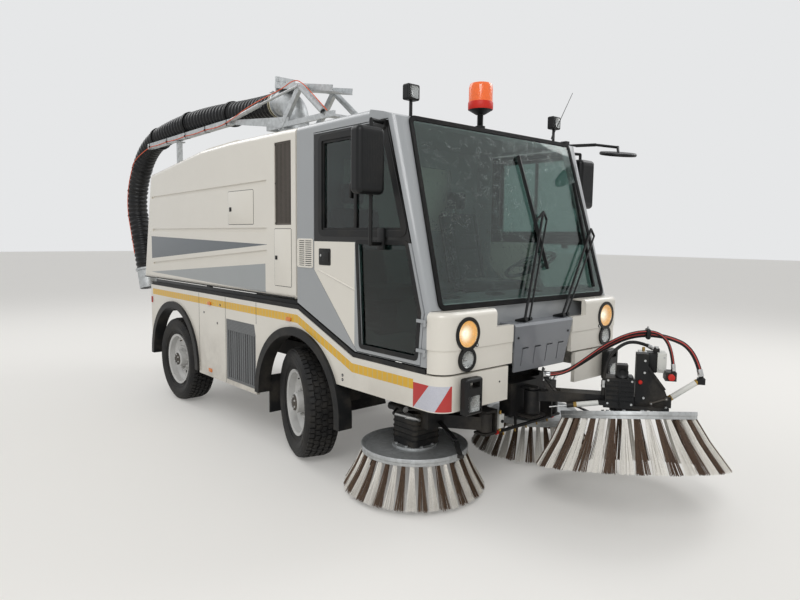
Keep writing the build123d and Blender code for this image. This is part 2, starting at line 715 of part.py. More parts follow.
def hopper_shell():
    shell = side_slab(hopper_outline(0), -body_half_width, body_half_width)
    long_edges = shell.edges().filter_by(lambda e: abs(abs(e.center().X) - body_half_width) < 1
                                         and e.center().Y > 0 and e.length > 300)
    shell = fillet(long_edges, 48)
    inner = body_half_width - hopper_wall
    cavity = side_slab(hopper_outline(hopper_wall), -inner, inner)
    wall = block(-inner, inner, hopper_bulkhead_y - 20, hopper_bulkhead_y + 20, hopper_low_z, roof_z)
    shell -= cavity - wall
    for low0, high0, low1, high1 in side_ribs:
        rib = side_slab([(rib_front_y, low0), (rib_front_y, high0), (rib_rear_y, high1), (rib_rear_y, low1)],
                        body_half_width - rib_depth, body_half_width + 10)
        shell -= rib
        shell -= mirrored(rib)
    intake = side_slab(intake_outline, inner - 20, body_half_width + 10)
    shell -= intake
    shell -= mirrored(intake)
    opening = rear_plane() * Pos(0, (rear_slope - 22) / 2, 0) * Box(2 * rear_opening_half, rear_slope - 162, 300)
    shell -= opening
    shell -= Pos(boom_x, boom_pivot_y, roof_z) * Cylinder(elbow_radius - 30, 200)
    shell -= Pos(0, duct_y, hopper_low_z) * Cylinder(duct_radius, 200)
    lug = block(rail_outer_x - 32, rail_outer_x + 10, tip_hinge_y - 44, tip_hinge_y + 44, tip_hinge_z - 44,
                hopper_low_z + 10)
    lug = both(lug)
    shell += lug
    shell += rear_hinge(False)
    for sign in (-1, 1):
        start = (sign * (rail_inner_x), tip_hinge_y, tip_hinge_z)
        end = (sign * (rail_outer_x + 80), tip_hinge_y, tip_hinge_z)
        shell -= rod(start, end, tip_pin_radius + running_gap)
    return shell


def intake_grilles():
    y0, z0 = intake_outline[0]
    y1, z1 = intake_outline[2]
    panel = block(body_half_width - 34, body_half_width - 8, y0 + 0.5, y1 - 0.5, z0 + 0.5, z1 - 0.5)
    slots = 14
    pitch = (y1 - y0 - 24) / slots
    for i in range(slots):
        y = y0 + 12 + (i + 0.25) * pitch
        panel -= block(body_half_width - 20, body_half_width, y, y + pitch * 0.5, z0 + 14, z1 - 14)
    return together([panel, mirrored(panel)])


vent_low_x = 95.0 - body_half_width
vent_high_x = vent_low_x + 160.0


def roof_vent():
    """Ribbed cover along the right edge of the hopper roof."""
    front, rear = 1010.0, 2480.0
    broken = [(y, roof_z + drop + 28) for y, drop in hopper_breaks[1:]]
    top = [(front, roof_z - 30), (front + 60, roof_z + 26), *broken, (rear, roof_z - 86), (rear, roof_z - 152)]
    cover = side_slab(top, vent_low_x, vent_high_x)
    count = 24
    pitch = (rear - front - 200) / count
    for i in range(count):
        y = front + 90 + i * pitch
        slot = block(vent_low_x + 15, vent_high_x - 15, y, y + pitch * 0.45, roof_z - 170, roof_z + 90)
        cover -= slot & cover_skin(top)
    return cover - side_slab(hopper_outline(-0.4), -body_half_width, body_half_width)


def cover_skin(top):
    """Upper layer of the roof cover, which its slots are cut into."""
    below = [(y, z - 14) for y, z in top[1:5]]
    return side_slab(top[1:5] + below[::-1], vent_low_x, vent_high_x)


def boom_pedestal():
    """Fixed base of the boom: roof plate with its turn ring, and the rear rest under the beam."""
    base = block(boom_x - 215, boom_x + 215, boom_pivot_y - 260, boom_pivot_y + 240, roof_z - 20, roof_z + 26)
    base -= side_slab(hopper_outline(-0.3), -body_half_width, body_half_width)
    ring_top = elbow_low_z - seat_gap
    base += Pos(boom_x, boom_pivot_y, (ring_top + roof_z + 20) / 2) * Cylinder(elbow_radius + 42, ring_top - roof_z - 20)
    base -= Pos(boom_x, boom_pivot_y, roof_z) * Cylinder(elbow_radius - 18, 400)
    rest_y = hopper_rear_low_y - 630
    share = (rest_y + 20 - beam_front[1]) / (beam_rear[1] - beam_front[1])
    rest_x = beam_front[0] + share * (beam_rear[0] - beam_front[0])
    rest_z = beam_front[2] + share * (beam_rear[2] - beam_front[2]) - boom_beam / 2 - 8
    foot_z = hopper_rear_high_z - 8
    post = block(rest_x - 25, rest_x + 25, rest_y, rest_y + 40, foot_z, rest_z)
    post += block(rest_x - 60, rest_x + 60, rest_y - 40, rest_y + 80, foot_z, foot_z + 86)
    post += block(rest_x - 55, rest_x + 55, rest_y - 5, rest_y + 45, rest_z - 12, rest_z)
    post -= side_slab(hopper_outline(-0.3), -body_half_width, body_half_width)
    return together([base, post])


# Rear door: its edges up the slope, its hinge line there and out from the face, and the hinge places across
rear_slope = math.hypot(hopper_rear_low_y - hopper_rear_high_y, hopper_rear_high_z - hopper_low_z)
rear_door_low = 40.0
rear_door_high = rear_slope - 57.5
rear_hinge_up = rear_slope - 24.5
rear_hinge_out = 22.0
rear_hinge_x = (-430.0, 0.0, 430.0)
rear_pin_radius = 8.0


def rear_hinge(moving):
    plane = rear_plane()
    up, out = rear_hinge_up, rear_hinge_out
    parts = []
    for x in rear_hinge_x:
        if moving:
            barrel = Pos(x, up, out) * Rot(0, 90, 0) * Cylinder(15, 59)
            barrel += Pos(x, (up + rear_door_high - 30) / 2, out) * Box(59, up - rear_door_high + 30, 16)
            barrel -= Pos(x, up, out) * Rot(0, 90, 0) * Cylinder(rear_pin_radius + running_gap, 90)
            parts.append(barrel)
        else:
            for side in (-1, 1):
                ear = Pos(x + side * 37.5, up - 2, (out + 14) / 2) * Box(15, 34, out + 14)
                parts.append(ear)
            parts.append(Pos(x, up, out) * Rot(0, 90, 0) * Cylinder(rear_pin_radius, 88))
    return together([plane * part for part in parts])


def rear_door():
    plane = rear_plane()
    low, high = rear_door_low, rear_door_high
    panel = plane * Pos(0, (low + high) / 2, 2 + rear_door_thickness / 2) * Box(
        2 * rear_door_half, high - low, rear_door_thickness)
    for x in (-400.0, 0.0, 400.0):
        panel += plane * Pos(x, (low + high) / 2, 2 + rear_door_thickness + 12) * Box(70, high - low - 160, 26)
    return panel + rear_hinge(True)


# Suction boom

hose_z = elbow_low_z + 275.0
hose_route = [
    (boom_x, boom_pivot_y + elbow_bend + 60.3, hose_z),
    (boom_x, boom_pivot_y + 650, hose_z),
    (boom_x - 120, hopper_rear_low_y - 960, hose_z + 25),
    (boom_x - 220, hopper_rear_low_y - 270, hose_z - 30),
    (boom_x - 288, hopper_rear_low_y + 370, hose_z - 170),
    (boom_x - 322, hopper_rear_low_y + 740, hose_z - 750),
    (boom_x - 315, hopper_rear_low_y + 530, hose_z - 1310),
    (boom_x - 305, hopper_rear_low_y + 460, hose_z - 1600),
]
# Ends of the square beam that carries the hose
beam_front = (boom_x - 190, boom_pivot_y + 850, elbow_low_z + 168)
beam_rear = (boom_x - 381, hopper_rear_low_y + 33, elbow_low_z + 69)


def corner_radii(points):
    """Largest arcs that the runs allow: 0.45 of the shorter run over the tangent of half the turn."""
    radii = []
    for before, here, after in zip(points, points[1:], points[2:]):
        first = Vector(here) - Vector(before)
        second = Vector(after) - Vector(here)
        half_turn = math.radians(first.get_angle(second)) / 2
        radii.append(0.45 * min(first.length, second.length) / math.tan(half_turn))
    return radii


def suction_hose():
    path = FilletPolyline(*hose_route, radius=corner_radii(hose_route))
    start = Plane(origin=path @ 0, z_dir=path % 0)
    return sweep(start * (Circle(hose_outer) - Circle(hose_inner)), path=path)


def hand_nozzle():
    """Steel mouthpiece pushed over the hose's end, with its handle."""
    end = Vector(hose_route[-1])
    way = (end - Vector(hose_route[-2])).normalized()
    plane = Plane(origin=end, z_dir=way, x_dir=(1, 0, 0))
    tube = Pos(0, 0, 90) * (Cylinder(hose_outer - 6, 300) - Cylinder(hose_outer - 12, 320))
    tube += Pos(0, 0, 12) * (Cylinder(hose_outer + 12, 22) - Cylinder(hose_outer - 12, 30))
    tube -= Pos(0, 0, -100) * Cylinder(hose_outer + 30, 201)
    grip = Pos(0, -hose_outer - 62, 120) * Cylinder(15, 180)
    for z in (45, 200):
        grip += Pos(0, -hose_outer - 26, z) * Box(22, 80, 22)
    grip -= Pos(0, 0, 90) * Cylinder(hose_outer - 6, 400)
    return plane * (tube + grip)


def elbow_path():
    """Centre line of the steel elbow, about the boom's own turning axis."""
    top = hose_z - elbow_bend
    path = Line((0, 0, elbow_low_z), (0, 0, top))
    path += ThreePointArc((0, 0, top), (0, elbow_bend * 0.2929, top + elbow_bend * 0.7071),
                          (0, elbow_bend, hose_z))
    path += Line((0, elbow_bend, hose_z), (0, elbow_bend + 60, hose_z))
    return path


def elbow_start():
    return Plane(origin=(0, 0, elbow_low_z), z_dir=(0, 0, 1))


def hose_elbow():
    section = elbow_start() * (Circle(elbow_radius - 8) - Circle(elbow_radius - 18))
    pipe = sweep(section, path=elbow_path())
    collar = Cylinder(hose_outer + 8, 16) - Cylinder(elbow_radius - 18, 20)
    collar = Pos(0, elbow_bend + 52, hose_z) * Rot(90, 0, 0) * collar
    flange = Pos(0, 0, elbow_low_z + 5) * (Cylinder(elbow_radius + 40, 10) - Cylinder(elbow_radius - 18, 20))
    return Pos(boom_x, boom_pivot_y, 0) * (pipe + flange + collar)


def boom_frame():
    """Beam under the hose, with foot rails, struts, open tubes and a sloping channel round the elbow."""
    frame = beam(beam_front, beam_rear, boom_beam, boom_beam)
    near, far = boom_x - 172, boom_x + 172
    low = elbow_low_z
    foot_z = low + 10 + 22 + seat_gap
    apex = (425.0, low + 314)
    for x in (near, far):
        frame += beam((x, -60, foot_z), (x, 960, foot_z), 20, 44)
        frame += beam((x, 700, foot_z), (x, apex[0], apex[1]), 34, 52)
        frame += rod((x, apex[0], apex[1]), (x, 96, low + 68), 26)
        frame -= rod((x, 150, low + 108.3), (x, 50, low + 33.8), 19)
    for y0, y1 in ((-60.0, 30.0), (900.0, 958.0)):
        frame += block(near - 10, far + 10, y0, y1, foot_z - 22, foot_z - 4)
    frame += rod((near - 17, apex[0], apex[1]), (far + 17, apex[0], apex[1]), 20)
    plate = side_slab([(600, low + 12), (600, low + 90), (760, low + 104), (beam_front[1] + 30, low + 190),
                       (beam_front[1] + 30, low + 150), (700, low + 12)], near - 14, near - 2)
    frame += plate
    frame += rod((near - 20, apex[0], apex[1]), (near - 20, 1052, low + 251), 11)
    frame += rod((near - 20, 1052, low + 251), (near - 20, beam_front[1] + 13, low + 184), 19)
    channel = beam((boom_x, 74, low + 232), (boom_x, 944, low + 398), 204, 8)
    for x in (boom_x - 98, boom_x + 98):
        channel += beam((x, 74, low + 256), (x, 944, low + 422), 8, 46)
    frame += channel
    frame += block(boom_x - 100, boom_x + 100, 928, 944, low + 370, low + 495)
    elbow = sweep(elbow_start() * Circle(elbow_radius - 8 + seat_gap), path=elbow_path())
    frame -= Pos(boom_x, boom_pivot_y, 0) * elbow
    for i in (1, 2, 3):
        start, end = Vector(hose_route[i]), Vector(hose_route[i + 1])
        middle = (start + end) * 0.5
        plane = Plane(origin=middle, z_dir=end - start)
        frame += plane * (Cylinder(hose_outer + 10, 36) - Cylinder(hose_outer + seat_gap, 60))
        share = min(1.0, (middle.Y - beam_front[1]) / (beam_rear[1] - beam_front[1]))
        carrier = Vector(beam_front) + (Vector(beam_rear) - Vector(beam_front)) * share
        frame += rod(tuple(carrier), tuple(carrier + (middle - carrier).normalized() * ((middle - carrier).length - hose_outer - 6)), 12)
    return frame


# Side brushes

def tuft(top_radius, tip_radius, drop, width):
    """One tuft in the XZ plane: from under the plate out to its tip."""
    top = Pos(0, 0, 4) * Plane.XY * Pos(top_radius - 14, 0) * Rectangle(24, width)
    low = Pos(0, 0, -drop) * Pos(tip_radius - 22, 0) * Rectangle(44, width * 1.55)
    return loft([top.face(), low.face()])


def brush(plate_radius, tip_radius, drop):
    """Round brush about its own axis: galvanised plate at z 0, tufts fanning out below it."""
    plate = Cylinder(plate_radius, 12)
    plate += Pos(0, 0, 10) * (Cylinder(plate_radius, 20) - Cylinder(plate_radius - 6, 40))
    plate += Pos(0, 0, -14) * (Cylinder(plate_radius - 4, 28) - Cylinder(plate_radius - 52, 60))
    plate += Pos(0, 0, hub_top / 2) * Cylinder(plate_radius * 0.42, hub_top)
    count = 2 * tuft_pairs
    width = 2 * math.pi * (plate_radius - 14) / count * 0.62
    one = tuft(plate_radius - 4, tip_radius, drop, width)
    tufts = [Rot(0, 0, 360 * i / count) * Pos(0, 0, -20) * one for i in range(count)]
    return plate.fuse(*tufts)


def side_brush(sign):
    drop = brush_plate_z - brush_tip_z - 20
    turned = brush(brush_plate_radius, brush_tip_radius, drop)
    return Pos(sign * brush_x, brush_y, brush_plate_z) * turned


def side_arm():
    """Left brush arm: sleeve on the chassis pin, box arm outwards, motor box over the brush."""
    top = brush_plate_z + hub_top + seat_gap
    sleeve = Pos(side_pivot_x, side_pivot_y, 505) * Cylinder(46, 124)
    pivot = (side_pivot_x, side_pivot_y, 500)
    arm = sleeve + beam(pivot, (brush_x - 60, brush_y - 82, 500), 76, 90)
    motor = block(brush_x - 130, brush_x + 110, brush_y - 120, brush_y + 110, top, 565)
    motor = fillet(motor.edges().filter_by(Axis.Z), 30)
    arm += motor
    arm += block(brush_x - 170, brush_x + 60, brush_y - 190, brush_y - 60, 470, 600)
    arm += beam((side_pivot_x + 130, side_pivot_y + 190, 585), (brush_x + 120, brush_y + 30, 592), 150, 14)
    arm += Pos(brush_x + 150, brush_y + 10, 596) * Rot(90, 0, 0) * Cylinder(26, 150)
    arm += block(brush_x + 90, brush_x + 160, brush_y - 20, brush_y + 40, 560, 600)
    arm += rod((brush_x + 60, brush_y - 120, 520), (brush_x + 250, brush_y - 60, 590), 11)
    arm += rod((brush_x + 150, brush_y + 10, 596), (brush_x + 250, brush_y - 60, 590), 9)
    spray = [(brush_x - 60, brush_y - 150, 520), (brush_x + 10, brush_y - 400, 440),
             (brush_x + 90, brush_y - 520, 385)]
    for start, end in zip(spray, spray[1:]):
        arm += beam(start, end, 30, 12)
        arm += Pos(*end) * Box(30, 30, 22)
    return arm - Pos(side_pivot_x, side_pivot_y, 500) * Cylinder(22 + running_gap, 200)


def side_pins():
    """Bracket under the left rail whose upright pin carries the side brush arm."""
    x, y = side_pivot_x, side_pivot_y
    bracket = block(rail_inner_x, x + 46, y - 46, rail_front_y + 130, rail_low_z - 18, rail_low_z)
    bracket += block(rail_inner_x, x + 46, y - 46, rail_front_y - 10, 420, 436)
    bracket += block(rail_inner_x, rail_inner_x + 18, y - 46, rail_front_y + 130, 420, rail_low_z)
    bracket += rod((x, y, 425), (x, y, rail_low_z - 5), 22)
    return bracket


# Front brush arm

swing = math.degrees(math.atan2(front_brush_x, turret_y - front_brush_y))
arm_place = Pos(0, turret_y, 0) * Rot(0, 0, swing)
lift_y = -130.0
lift_z = 665.0
reach = math.hypot(front_brush_x, front_brush_y - turret_y)


def arm_turret():
    """Bracket on the front of the rails with the upright swing pin, and the two side brush pin brackets."""
    post = block(-150, 150, turret_y + 70, rail_front_y, 500, 735)
    post += block(-42, 42, turret_y, turret_y + 80, 695, 710)
    post += Pos(0, turret_y, 702.5) * Cylinder(42, 15)
    post += block(-80, 80, turret_y - 60, turret_y + 80, 500, 520)
    post += rod((0, turret_y, 505), (0, turret_y, 705), 26)
    return together([post, side_pins(), mirrored(side_pins())])


def arm_yoke():
    """Swing link, at rest turned towards the left: local -Y runs along the arm."""
    link = Pos(0, 0, 606.5) * Cylinder(56, 163)
    link += block(-34, 34, lift_y, -30, lift_z - 45, lift_z + 22)
    link += Pos(0, lift_y, lift_z) * Rot(0, 90, 0) * Cylinder(42, 68)
    link -= Pos(0, 0, 617) * Cylinder(26 + running_gap, 300)
    link -= rod((-60, lift_y, lift_z), (60, lift_y, lift_z), 18 + running_gap)
    return arm_place * link


def brush_plane():
    heading = math.radians(front_tilt_heading)
    tilt = math.radians(front_tilt)
    axis = (math.cos(heading) * math.sin(tilt), math.sin(heading) * math.sin(tilt), math.cos(tilt))
    return Plane(origin=(front_brush_x, front_brush_y, front_brush_z), x_dir=(0.744, -0.66, 0), z_dir=axis)


# Hoses on the front arm, in the arm's own frame: outside diameter and route
arm_hoses = (
    (30.0, ((40, -72, 800), (40, -190, 800), (32, -335, 900), (26, -480, 1015), (22, -650, 1108),
            (18, -850, 1114), (-5, -1035, 1035), (-20, -1075, 862))),
    (22.0, ((-5, -72, 800), (-5, -190, 800), (-12, -335, 918), (-16, -480, 1042), (-22, -640, 1130),
            (-30, -800, 1147), (-35, -890, 1045), (-35, -905, 890))),
    (22.0, ((-100, -466, 765), (-100, -466, 900), (-80, -535, 1030), (-20, -660, 1083), (50, -780, 1020))),
)


def arm_hose(diameter, route):
    path = FilletPolyline(*route, radius=corner_radii(route))
    start = Plane(origin=path @ 0, z_dir=path % 0)
    return arm_place * sweep(start * Circle(diameter / 2), path=path)


def hose_stub(route, length, radius):
    """Round fitting that carries on from the end of a hose, in line with it."""
    end = Vector(route[-1])
    way = (end - Vector(route[-2])).normalized()
    return rod(tuple(end), tuple(end + way * length), radius)


def front_arm():
    """Lifting arm: fork on the yoke's pin, box beam, coupling plate, head with its post, valves and motor."""
    arm = both(block(40, 62, -reach + 30, lift_y + 36, 630, 700))
    arm += block(-62, 62, -reach - 20, lift_y - 60, 630, 700)
    arm += rod((-66, lift_y, lift_z), (66, lift_y, lift_z), 18)
    arm += both(beam((51, -134, 690), (51, -66, 775), 16, 20))
    arm += block(-70, 70, -72, -60, 760, 840)
    arm += block(-110, 110, -880, -470, 628, 650)
    arm += block(-60, 20, -747, -672, 640, 994)
    web = side_slab([(-680, 640), (-680, 994), (-694, 994), (-852, 768), (-880, 700), (-880, 640)], -46, -34)
    arm += web + beam((-40, -682, 990), (-40, -856, 762), 44, 14)
    arm += block(-110, 20, -660, -480, 640, 830)
    arm += block(-80, 0, -620, -547, 826, 915)
    arm += block(15, 125, -866, -697, 864, 990)
    arm += block(-50, 60, -925, -856, 820, 878)
    arm += block(-50, 0, -900, -860, 640, 712)
    arm += rod((-20, -880, 690), (-20, -1066, 830), 17)
    arm += block(-42, 2, -1100, -1056, 808, 848)
    arm += hose_stub(arm_hoses[0][1], 30, 15)
    arm += hose_stub(arm_hoses[1][1], 30, 13)
    arm += hose_stub(arm_hoses[2][1], 34, 13)
    arm += block(44, 86, -826, -788, 985, 1016)
    arm += rod((-100, -466, 765), (-100, -466, 712), 13)
    arm += rod((-100, -466, 722), (-100, -500, 722), 8)
    arm += rod((-92, -235, 618), (-92, -455, 655), 16)
    arm += block(-108, -55, -480, -445, 640, 672)
    arm = arm_place * arm
    plane = brush_plane()
    motor = plane * Pos(0, 0, 70) * Box(180, 170, 90)
    motor += plane * Pos(0, 0, hub_top + seat_gap + 14) * Cylinder(88, 28)
    return arm + motor


def front_brush():
    return brush_plane() * brush(front_plate_radius, front_tip_radius, front_tuft_drop)


def suction_nozzle():
    """Wide suction mouth behind the front axle, hung from the rails, with its duct up to the hopper."""
    y = duct_y
    mouth = side_slab([(y - 210, 60), (y + 210, 60), (y + 160, 210), (y + 50, 300), (y - 50, 300), (y - 160, 210)],
                      -480, 480)
    mouth -= side_slab([(y - 192, 50), (y + 192, 50), (y + 144, 202), (y + 42, 284), (y - 42, 284), (y - 144, 202)],
                       -462, 462)
    duct = Pos(0, y, (260 + hopper_low_z - 6) / 2) * Cylinder(duct_radius, hopper_low_z - 6 - 260)
    mouth += duct
    mouth -= Pos(0, y, 700) * Cylinder(duct_radius - 8, 1500)
    for x in (-345.0, 345.0):
        mouth += block(x - 20, x + 20, y - 30, y + 30, 284, rail_low_z)
    return mouth


pieces = {
    "frame_rails": frame_rails(),
    "axles": axles(),
    "engine": engine(),
    "cab_shell": cab_shell(),
    "windscreen": windscreen(),
    "seats": seats(),
    "dashboard": dashboard(),
    "cab_front": cab_front(),
    "centre_panel": centre_panel(),
    "skirts": skirts(),
    "side_grilles": side_grilles(),
    "wheel_arches": wheel_arches(),
    "mudflaps": mudflaps(),
    "lamp_housings": lamp_housings(),
    "lamp_lenses": lamp_lenses(),
    "kerb_mirror": kerb_mirror(),
    "wipers": wipers(),
    "beacon": beacon(),
    "suction_nozzle": suction_nozzle(),
    "arm_turret": arm_turret(),
    "hopper_shell": hopper_shell(),
    "intake_grilles": intake_grilles(),
    "roof_vent": roof_vent(),
    "boom_pedestal": boom_pedestal(),
    "rear_door": rear_door(),
    "boom_frame": boom_frame(),
    "hose_elbow": hose_elbow(),
    "suction_hose": suction_hose(),
    "hand_nozzle": hand_nozzle(),
    "arm_yoke": arm_yoke(),
    "front_arm": front_arm(),
    "brush_front": front_brush(),
}

for i, (diameter, route) in enumerate(arm_hoses, 1):
    pieces["hydraulic_hose_" + str(i)] = arm_hose(diameter, route)

door_left = side_slab(door_outline(0), body_half_width - door_thickness, body_half_width)
door_left -= side_slab(upper_window, body_half_width - 100, body_half_width + 10)
door_left -= side_slab(lower_window, body_half_width - 100, body_half_width + 10)
door_left += hinge_barrels(True)
glass_left = side_slab(upper_window, body_half_width - 24, body_half_width - 18)
glass_left += side_slab(lower_window, body_half_width - 24, body_half_width - 18)
arm_left = side_arm()
for sign in (-1, 1):
    side = sized(sign)
    place = mirrored if sign < 0 else (lambda shape: shape)
    pieces["door_" + side] = place(door_left)
    pieces["door_glass_" + side] = place(glass_left)
    pieces["door_mirror_" + side] = place(door_mirror())
    pieces["knuckle_" + side] = knuckle(sign)
    pieces["side_arm_" + side] = place(arm_left)
    pieces["brush_" + side] = side_brush(sign)
    for name, front in (("front", True), ("rear", False)):
        where = wheel_place(sign, front) * wheel_turn(sign)
        pieces["tyre_" + name + "_" + side] = where * tyre()
        pieces["rim_" + name + "_" + side] = where * rim()

# The row's origin lies under the middle of the whole truck
for name, shape in pieces.items():
    export_step(Pos(0, -origin_y, 0) * shape, "parts/" + name + ".step")
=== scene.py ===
import math
import random

import bmesh
import bpy
from mathutils import Matrix, Vector


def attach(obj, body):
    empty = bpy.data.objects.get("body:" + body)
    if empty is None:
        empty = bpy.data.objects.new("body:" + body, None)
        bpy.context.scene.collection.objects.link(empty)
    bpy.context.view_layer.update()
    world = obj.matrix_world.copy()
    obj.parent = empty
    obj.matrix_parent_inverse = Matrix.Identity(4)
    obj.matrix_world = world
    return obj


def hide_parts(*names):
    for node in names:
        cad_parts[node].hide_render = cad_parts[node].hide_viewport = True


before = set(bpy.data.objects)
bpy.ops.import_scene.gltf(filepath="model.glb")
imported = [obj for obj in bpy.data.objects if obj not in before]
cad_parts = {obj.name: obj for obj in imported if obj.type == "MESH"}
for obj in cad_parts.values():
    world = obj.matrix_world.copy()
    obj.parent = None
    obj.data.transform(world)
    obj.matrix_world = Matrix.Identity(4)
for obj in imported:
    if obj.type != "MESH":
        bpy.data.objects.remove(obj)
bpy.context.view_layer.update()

# A compact street sweeper truck, dressed around its imported solids. Metres, front towards -Y.
# Points are written from the front axle, and moved by axleY at the end.
axleY = -0.65
scene = bpy.context.scene
sides = {"right": -1, "left": 1}


def shifted(point):
    return Vector((point[0], point[1] + axleY, point[2]))


def tint(red, green, blue):
    # screen colour 0-255 to the linear value a shader takes
    return tuple(c / 3294.6 if c <= 10.31 else ((c / 255 + 0.055) / 1.055) ** 2.4 for c in (red, green, blue))


def shaded(colour, share):
    return tuple(c * share for c in colour)


# Shader maths as Python expressions

def operator(operation):
    return lambda self, other: self.maths(operation, other)


class Wire:
    def __init__(self, graph, output):
        self.graph = graph
        self.output = output

    def maths(self, operation, *others):
        return self.graph.node("ShaderNodeMath", {"operation": operation}, dict(enumerate((self,) + others)))

    __add__ = __radd__ = operator("ADD")
    __sub__ = operator("SUBTRACT")
    __mul__ = __rmul__ = operator("MULTIPLY")
    __truediv__ = operator("DIVIDE")
    __gt__ = operator("GREATER_THAN")
    __lt__ = operator("LESS_THAN")

    def __rsub__(self, other):
        return self.graph.node("ShaderNodeMath", {"operation": "SUBTRACT"}, {0: other, 1: self})

    def __abs__(self):
        return self.maths("ABSOLUTE")

    def rise(self, start, end):
        # 0 below start, 1 above end, smooth between them
        return self.graph.node("ShaderNodeMapRange", {"interpolation_type": "SMOOTHSTEP"},
                               {0: self, 1: start, 2: end, 3: 0.0, 4: 1.0})

    def between(self, low, high):
        return (self > low) * (self < high)


class Graph:
    def __init__(self, tree):
        self.tree = tree

    def put(self, socket, value):
        if isinstance(value, Wire):
            self.tree.links.new(value.output, socket)
        elif socket.type == "RGBA" and len(value) == 3:
            socket.default_value = (*value, 1.0)
        else:
            socket.default_value = value

    def node(self, kind, settings, sockets, output=0):
        made = self.tree.nodes.new(kind)
        for key, value in settings.items():
            setattr(made, key, value)
        for key, value in sockets.items():
            self.put(made.inputs[key], value)
        return None if output is None else Wire(self, made.outputs[output])

    def seen(self):
        # 1 for what the camera, a mirror or a pane sees, 0 for light that falls on the object
        camera, glossy, through = (self.node("ShaderNodeLightPath", {}, {}, ray)
                                   for ray in ("Is Camera Ray", "Is Glossy Ray", "Is Transmission Ray"))
        return camera.maths("MAXIMUM", glossy).maths("MAXIMUM", through)


class Finish(Graph):
    def __init__(self, look):
        self.material = bpy.data.materials.new("finish")
        self.material.use_nodes = True
        super().__init__(self.material.node_tree)
        self.tree.nodes.clear()
        self.shader = self.node("ShaderNodeBsdfPrincipled", {}, look)
        self.node("ShaderNodeOutputMaterial", {}, {0: self.shader}, None)

    def feed(self, socket, value):
        self.put(self.shader.output.node.inputs[socket], value)

    def place(self):
        return self.node("ShaderNodeTexCoord", {}, {}, "Object")

    def axes(self):
        # x, y from the front axle, z
        whole = self.place()
        x, y, z = (self.node("ShaderNodeSeparateXYZ", {}, {0: whole}, i) for i in range(3))
        return x, y - axleY, z

    def stretched(self, scale):
        return self.node("ShaderNodeVectorMath", {"operation": "MULTIPLY"}, {0: self.place(), 1: scale})

    def noise(self, scale, detail=3.0, rough=0.55, at=None):
        return self.node("ShaderNodeTexNoise", {},
                         {"Vector": at or self.place(), "Scale": scale, "Detail": detail, "Roughness": rough})

    def cells(self, scale, output="Distance"):
        return self.node("ShaderNodeTexVoronoi", {}, {"Vector": self.place(), "Scale": scale}, output)

    def mix(self, share, low, high):
        return self.node("ShaderNodeMix", {"data_type": "RGBA"}, {0: share, 6: low, 7: high}, 2)

    def bump(self, height, strength, distance):
        sockets = {"Height": height, "Strength": strength, "Distance": distance}
        self.feed("Normal", self.node("ShaderNodeBump", {}, sockets))


def dirt(finish, colour, amount, top):
    # road film that thins out with height, broken up by two noises
    z = finish.axes()[2]
    low = 1 - z.rise(0.35, top)
    cloud = finish.noise(3.1, 5.0, 0.62).rise(0.38, 0.72)
    speck = finish.noise(46.0, 4.0, 0.7).rise(0.52, 0.74)
    film = (low * (0.35 + 0.65 * cloud) + 0.18 * speck * low + 0.08 * cloud) * amount
    return film, finish.mix(film, colour, tint(116, 104, 88))


def paintFinish(colour, filth, top, rough=0.3, wet=0.35, colourOf=None):
    finish = Finish({"Coat Weight": 0.5, "Coat Roughness": 0.12, "IOR": 1.48})
    fade = finish.noise(0.9, 3.0)
    shade = finish.mix(fade * 0.5, colour, shaded(colour, 0.9))
    if colourOf:
        shade = colourOf(finish, shade)
    film, skin = dirt(finish, shade, filth, top)
    finish.feed("Base Color", skin)
    finish.feed("Roughness", rough + 0.3 * film + 0.05 * fade)
    beads = (1 - finish.cells(150.0).rise(0.05, 0.34)) * finish.noise(23.0).rise(0.5, 0.62)
    peel = finish.noise(210.0, 2.0)
    finish.bump(beads * wet + peel * 0.12, 0.22, 0.0012)
    return finish.material


whiteColour = tint(232, 227, 216)
silverColour = tint(160, 163, 165)
slateColour = tint(84, 92, 98)
paleGreyColour = tint(158, 162, 163)
amberColour = tint(228, 176, 0)
redColour = tint(188, 12, 14)


def wedge(y, z, start, end, startTop, startLow, endTop, endLow):
    # band between two straight edges, from y start to y end
    share = (y - start) / (end - start)
    top = startTop + (endTop - startTop) * share
    low = startLow + (endLow - startLow) * share
    return y.between(start, end) * (z < top) * (z > low)


# start, end, upper and lower edge at the start, upper and lower edge at the end
hopperBands = ((slateColour, (0.41, 2.93, 1.671, 1.669, 1.72, 1.477)),
               (paleGreyColour, (0.44, 2.944, 1.515, 1.278, 1.328, 1.326)))


def hopperStripes(finish, shade):
    x, y, z = finish.axes()
    outside = abs(x) > 0.984
    for colour, edges in hopperBands:
        shade = finish.mix(wedge(y, z, *edges) * outside, shade, colour)
    return shade


# amber tape along the skirt: it falls from high to low ahead of the bend, and is made of cells
tape = {"side": 0.996, "span": (-1.345, 2.93), "bend": -0.033, "slope": 0.264 / 0.694, "high": 1.143,
        "low": 0.879, "width": 0.063, "cellsPerMetre": 20.0, "cell": (0.1, 0.93), "seam": tint(208, 182, 104)}
# slanted warning board at the corner, measured along the skirt and round the corner
board = {"span": (1.345, 1.68), "height": (0.706, 0.862), "front": -1.3, "lean": 0.85, "white": (1.345, 1.53),
         "whites": (tint(214, 214, 222), tint(186, 188, 200))}


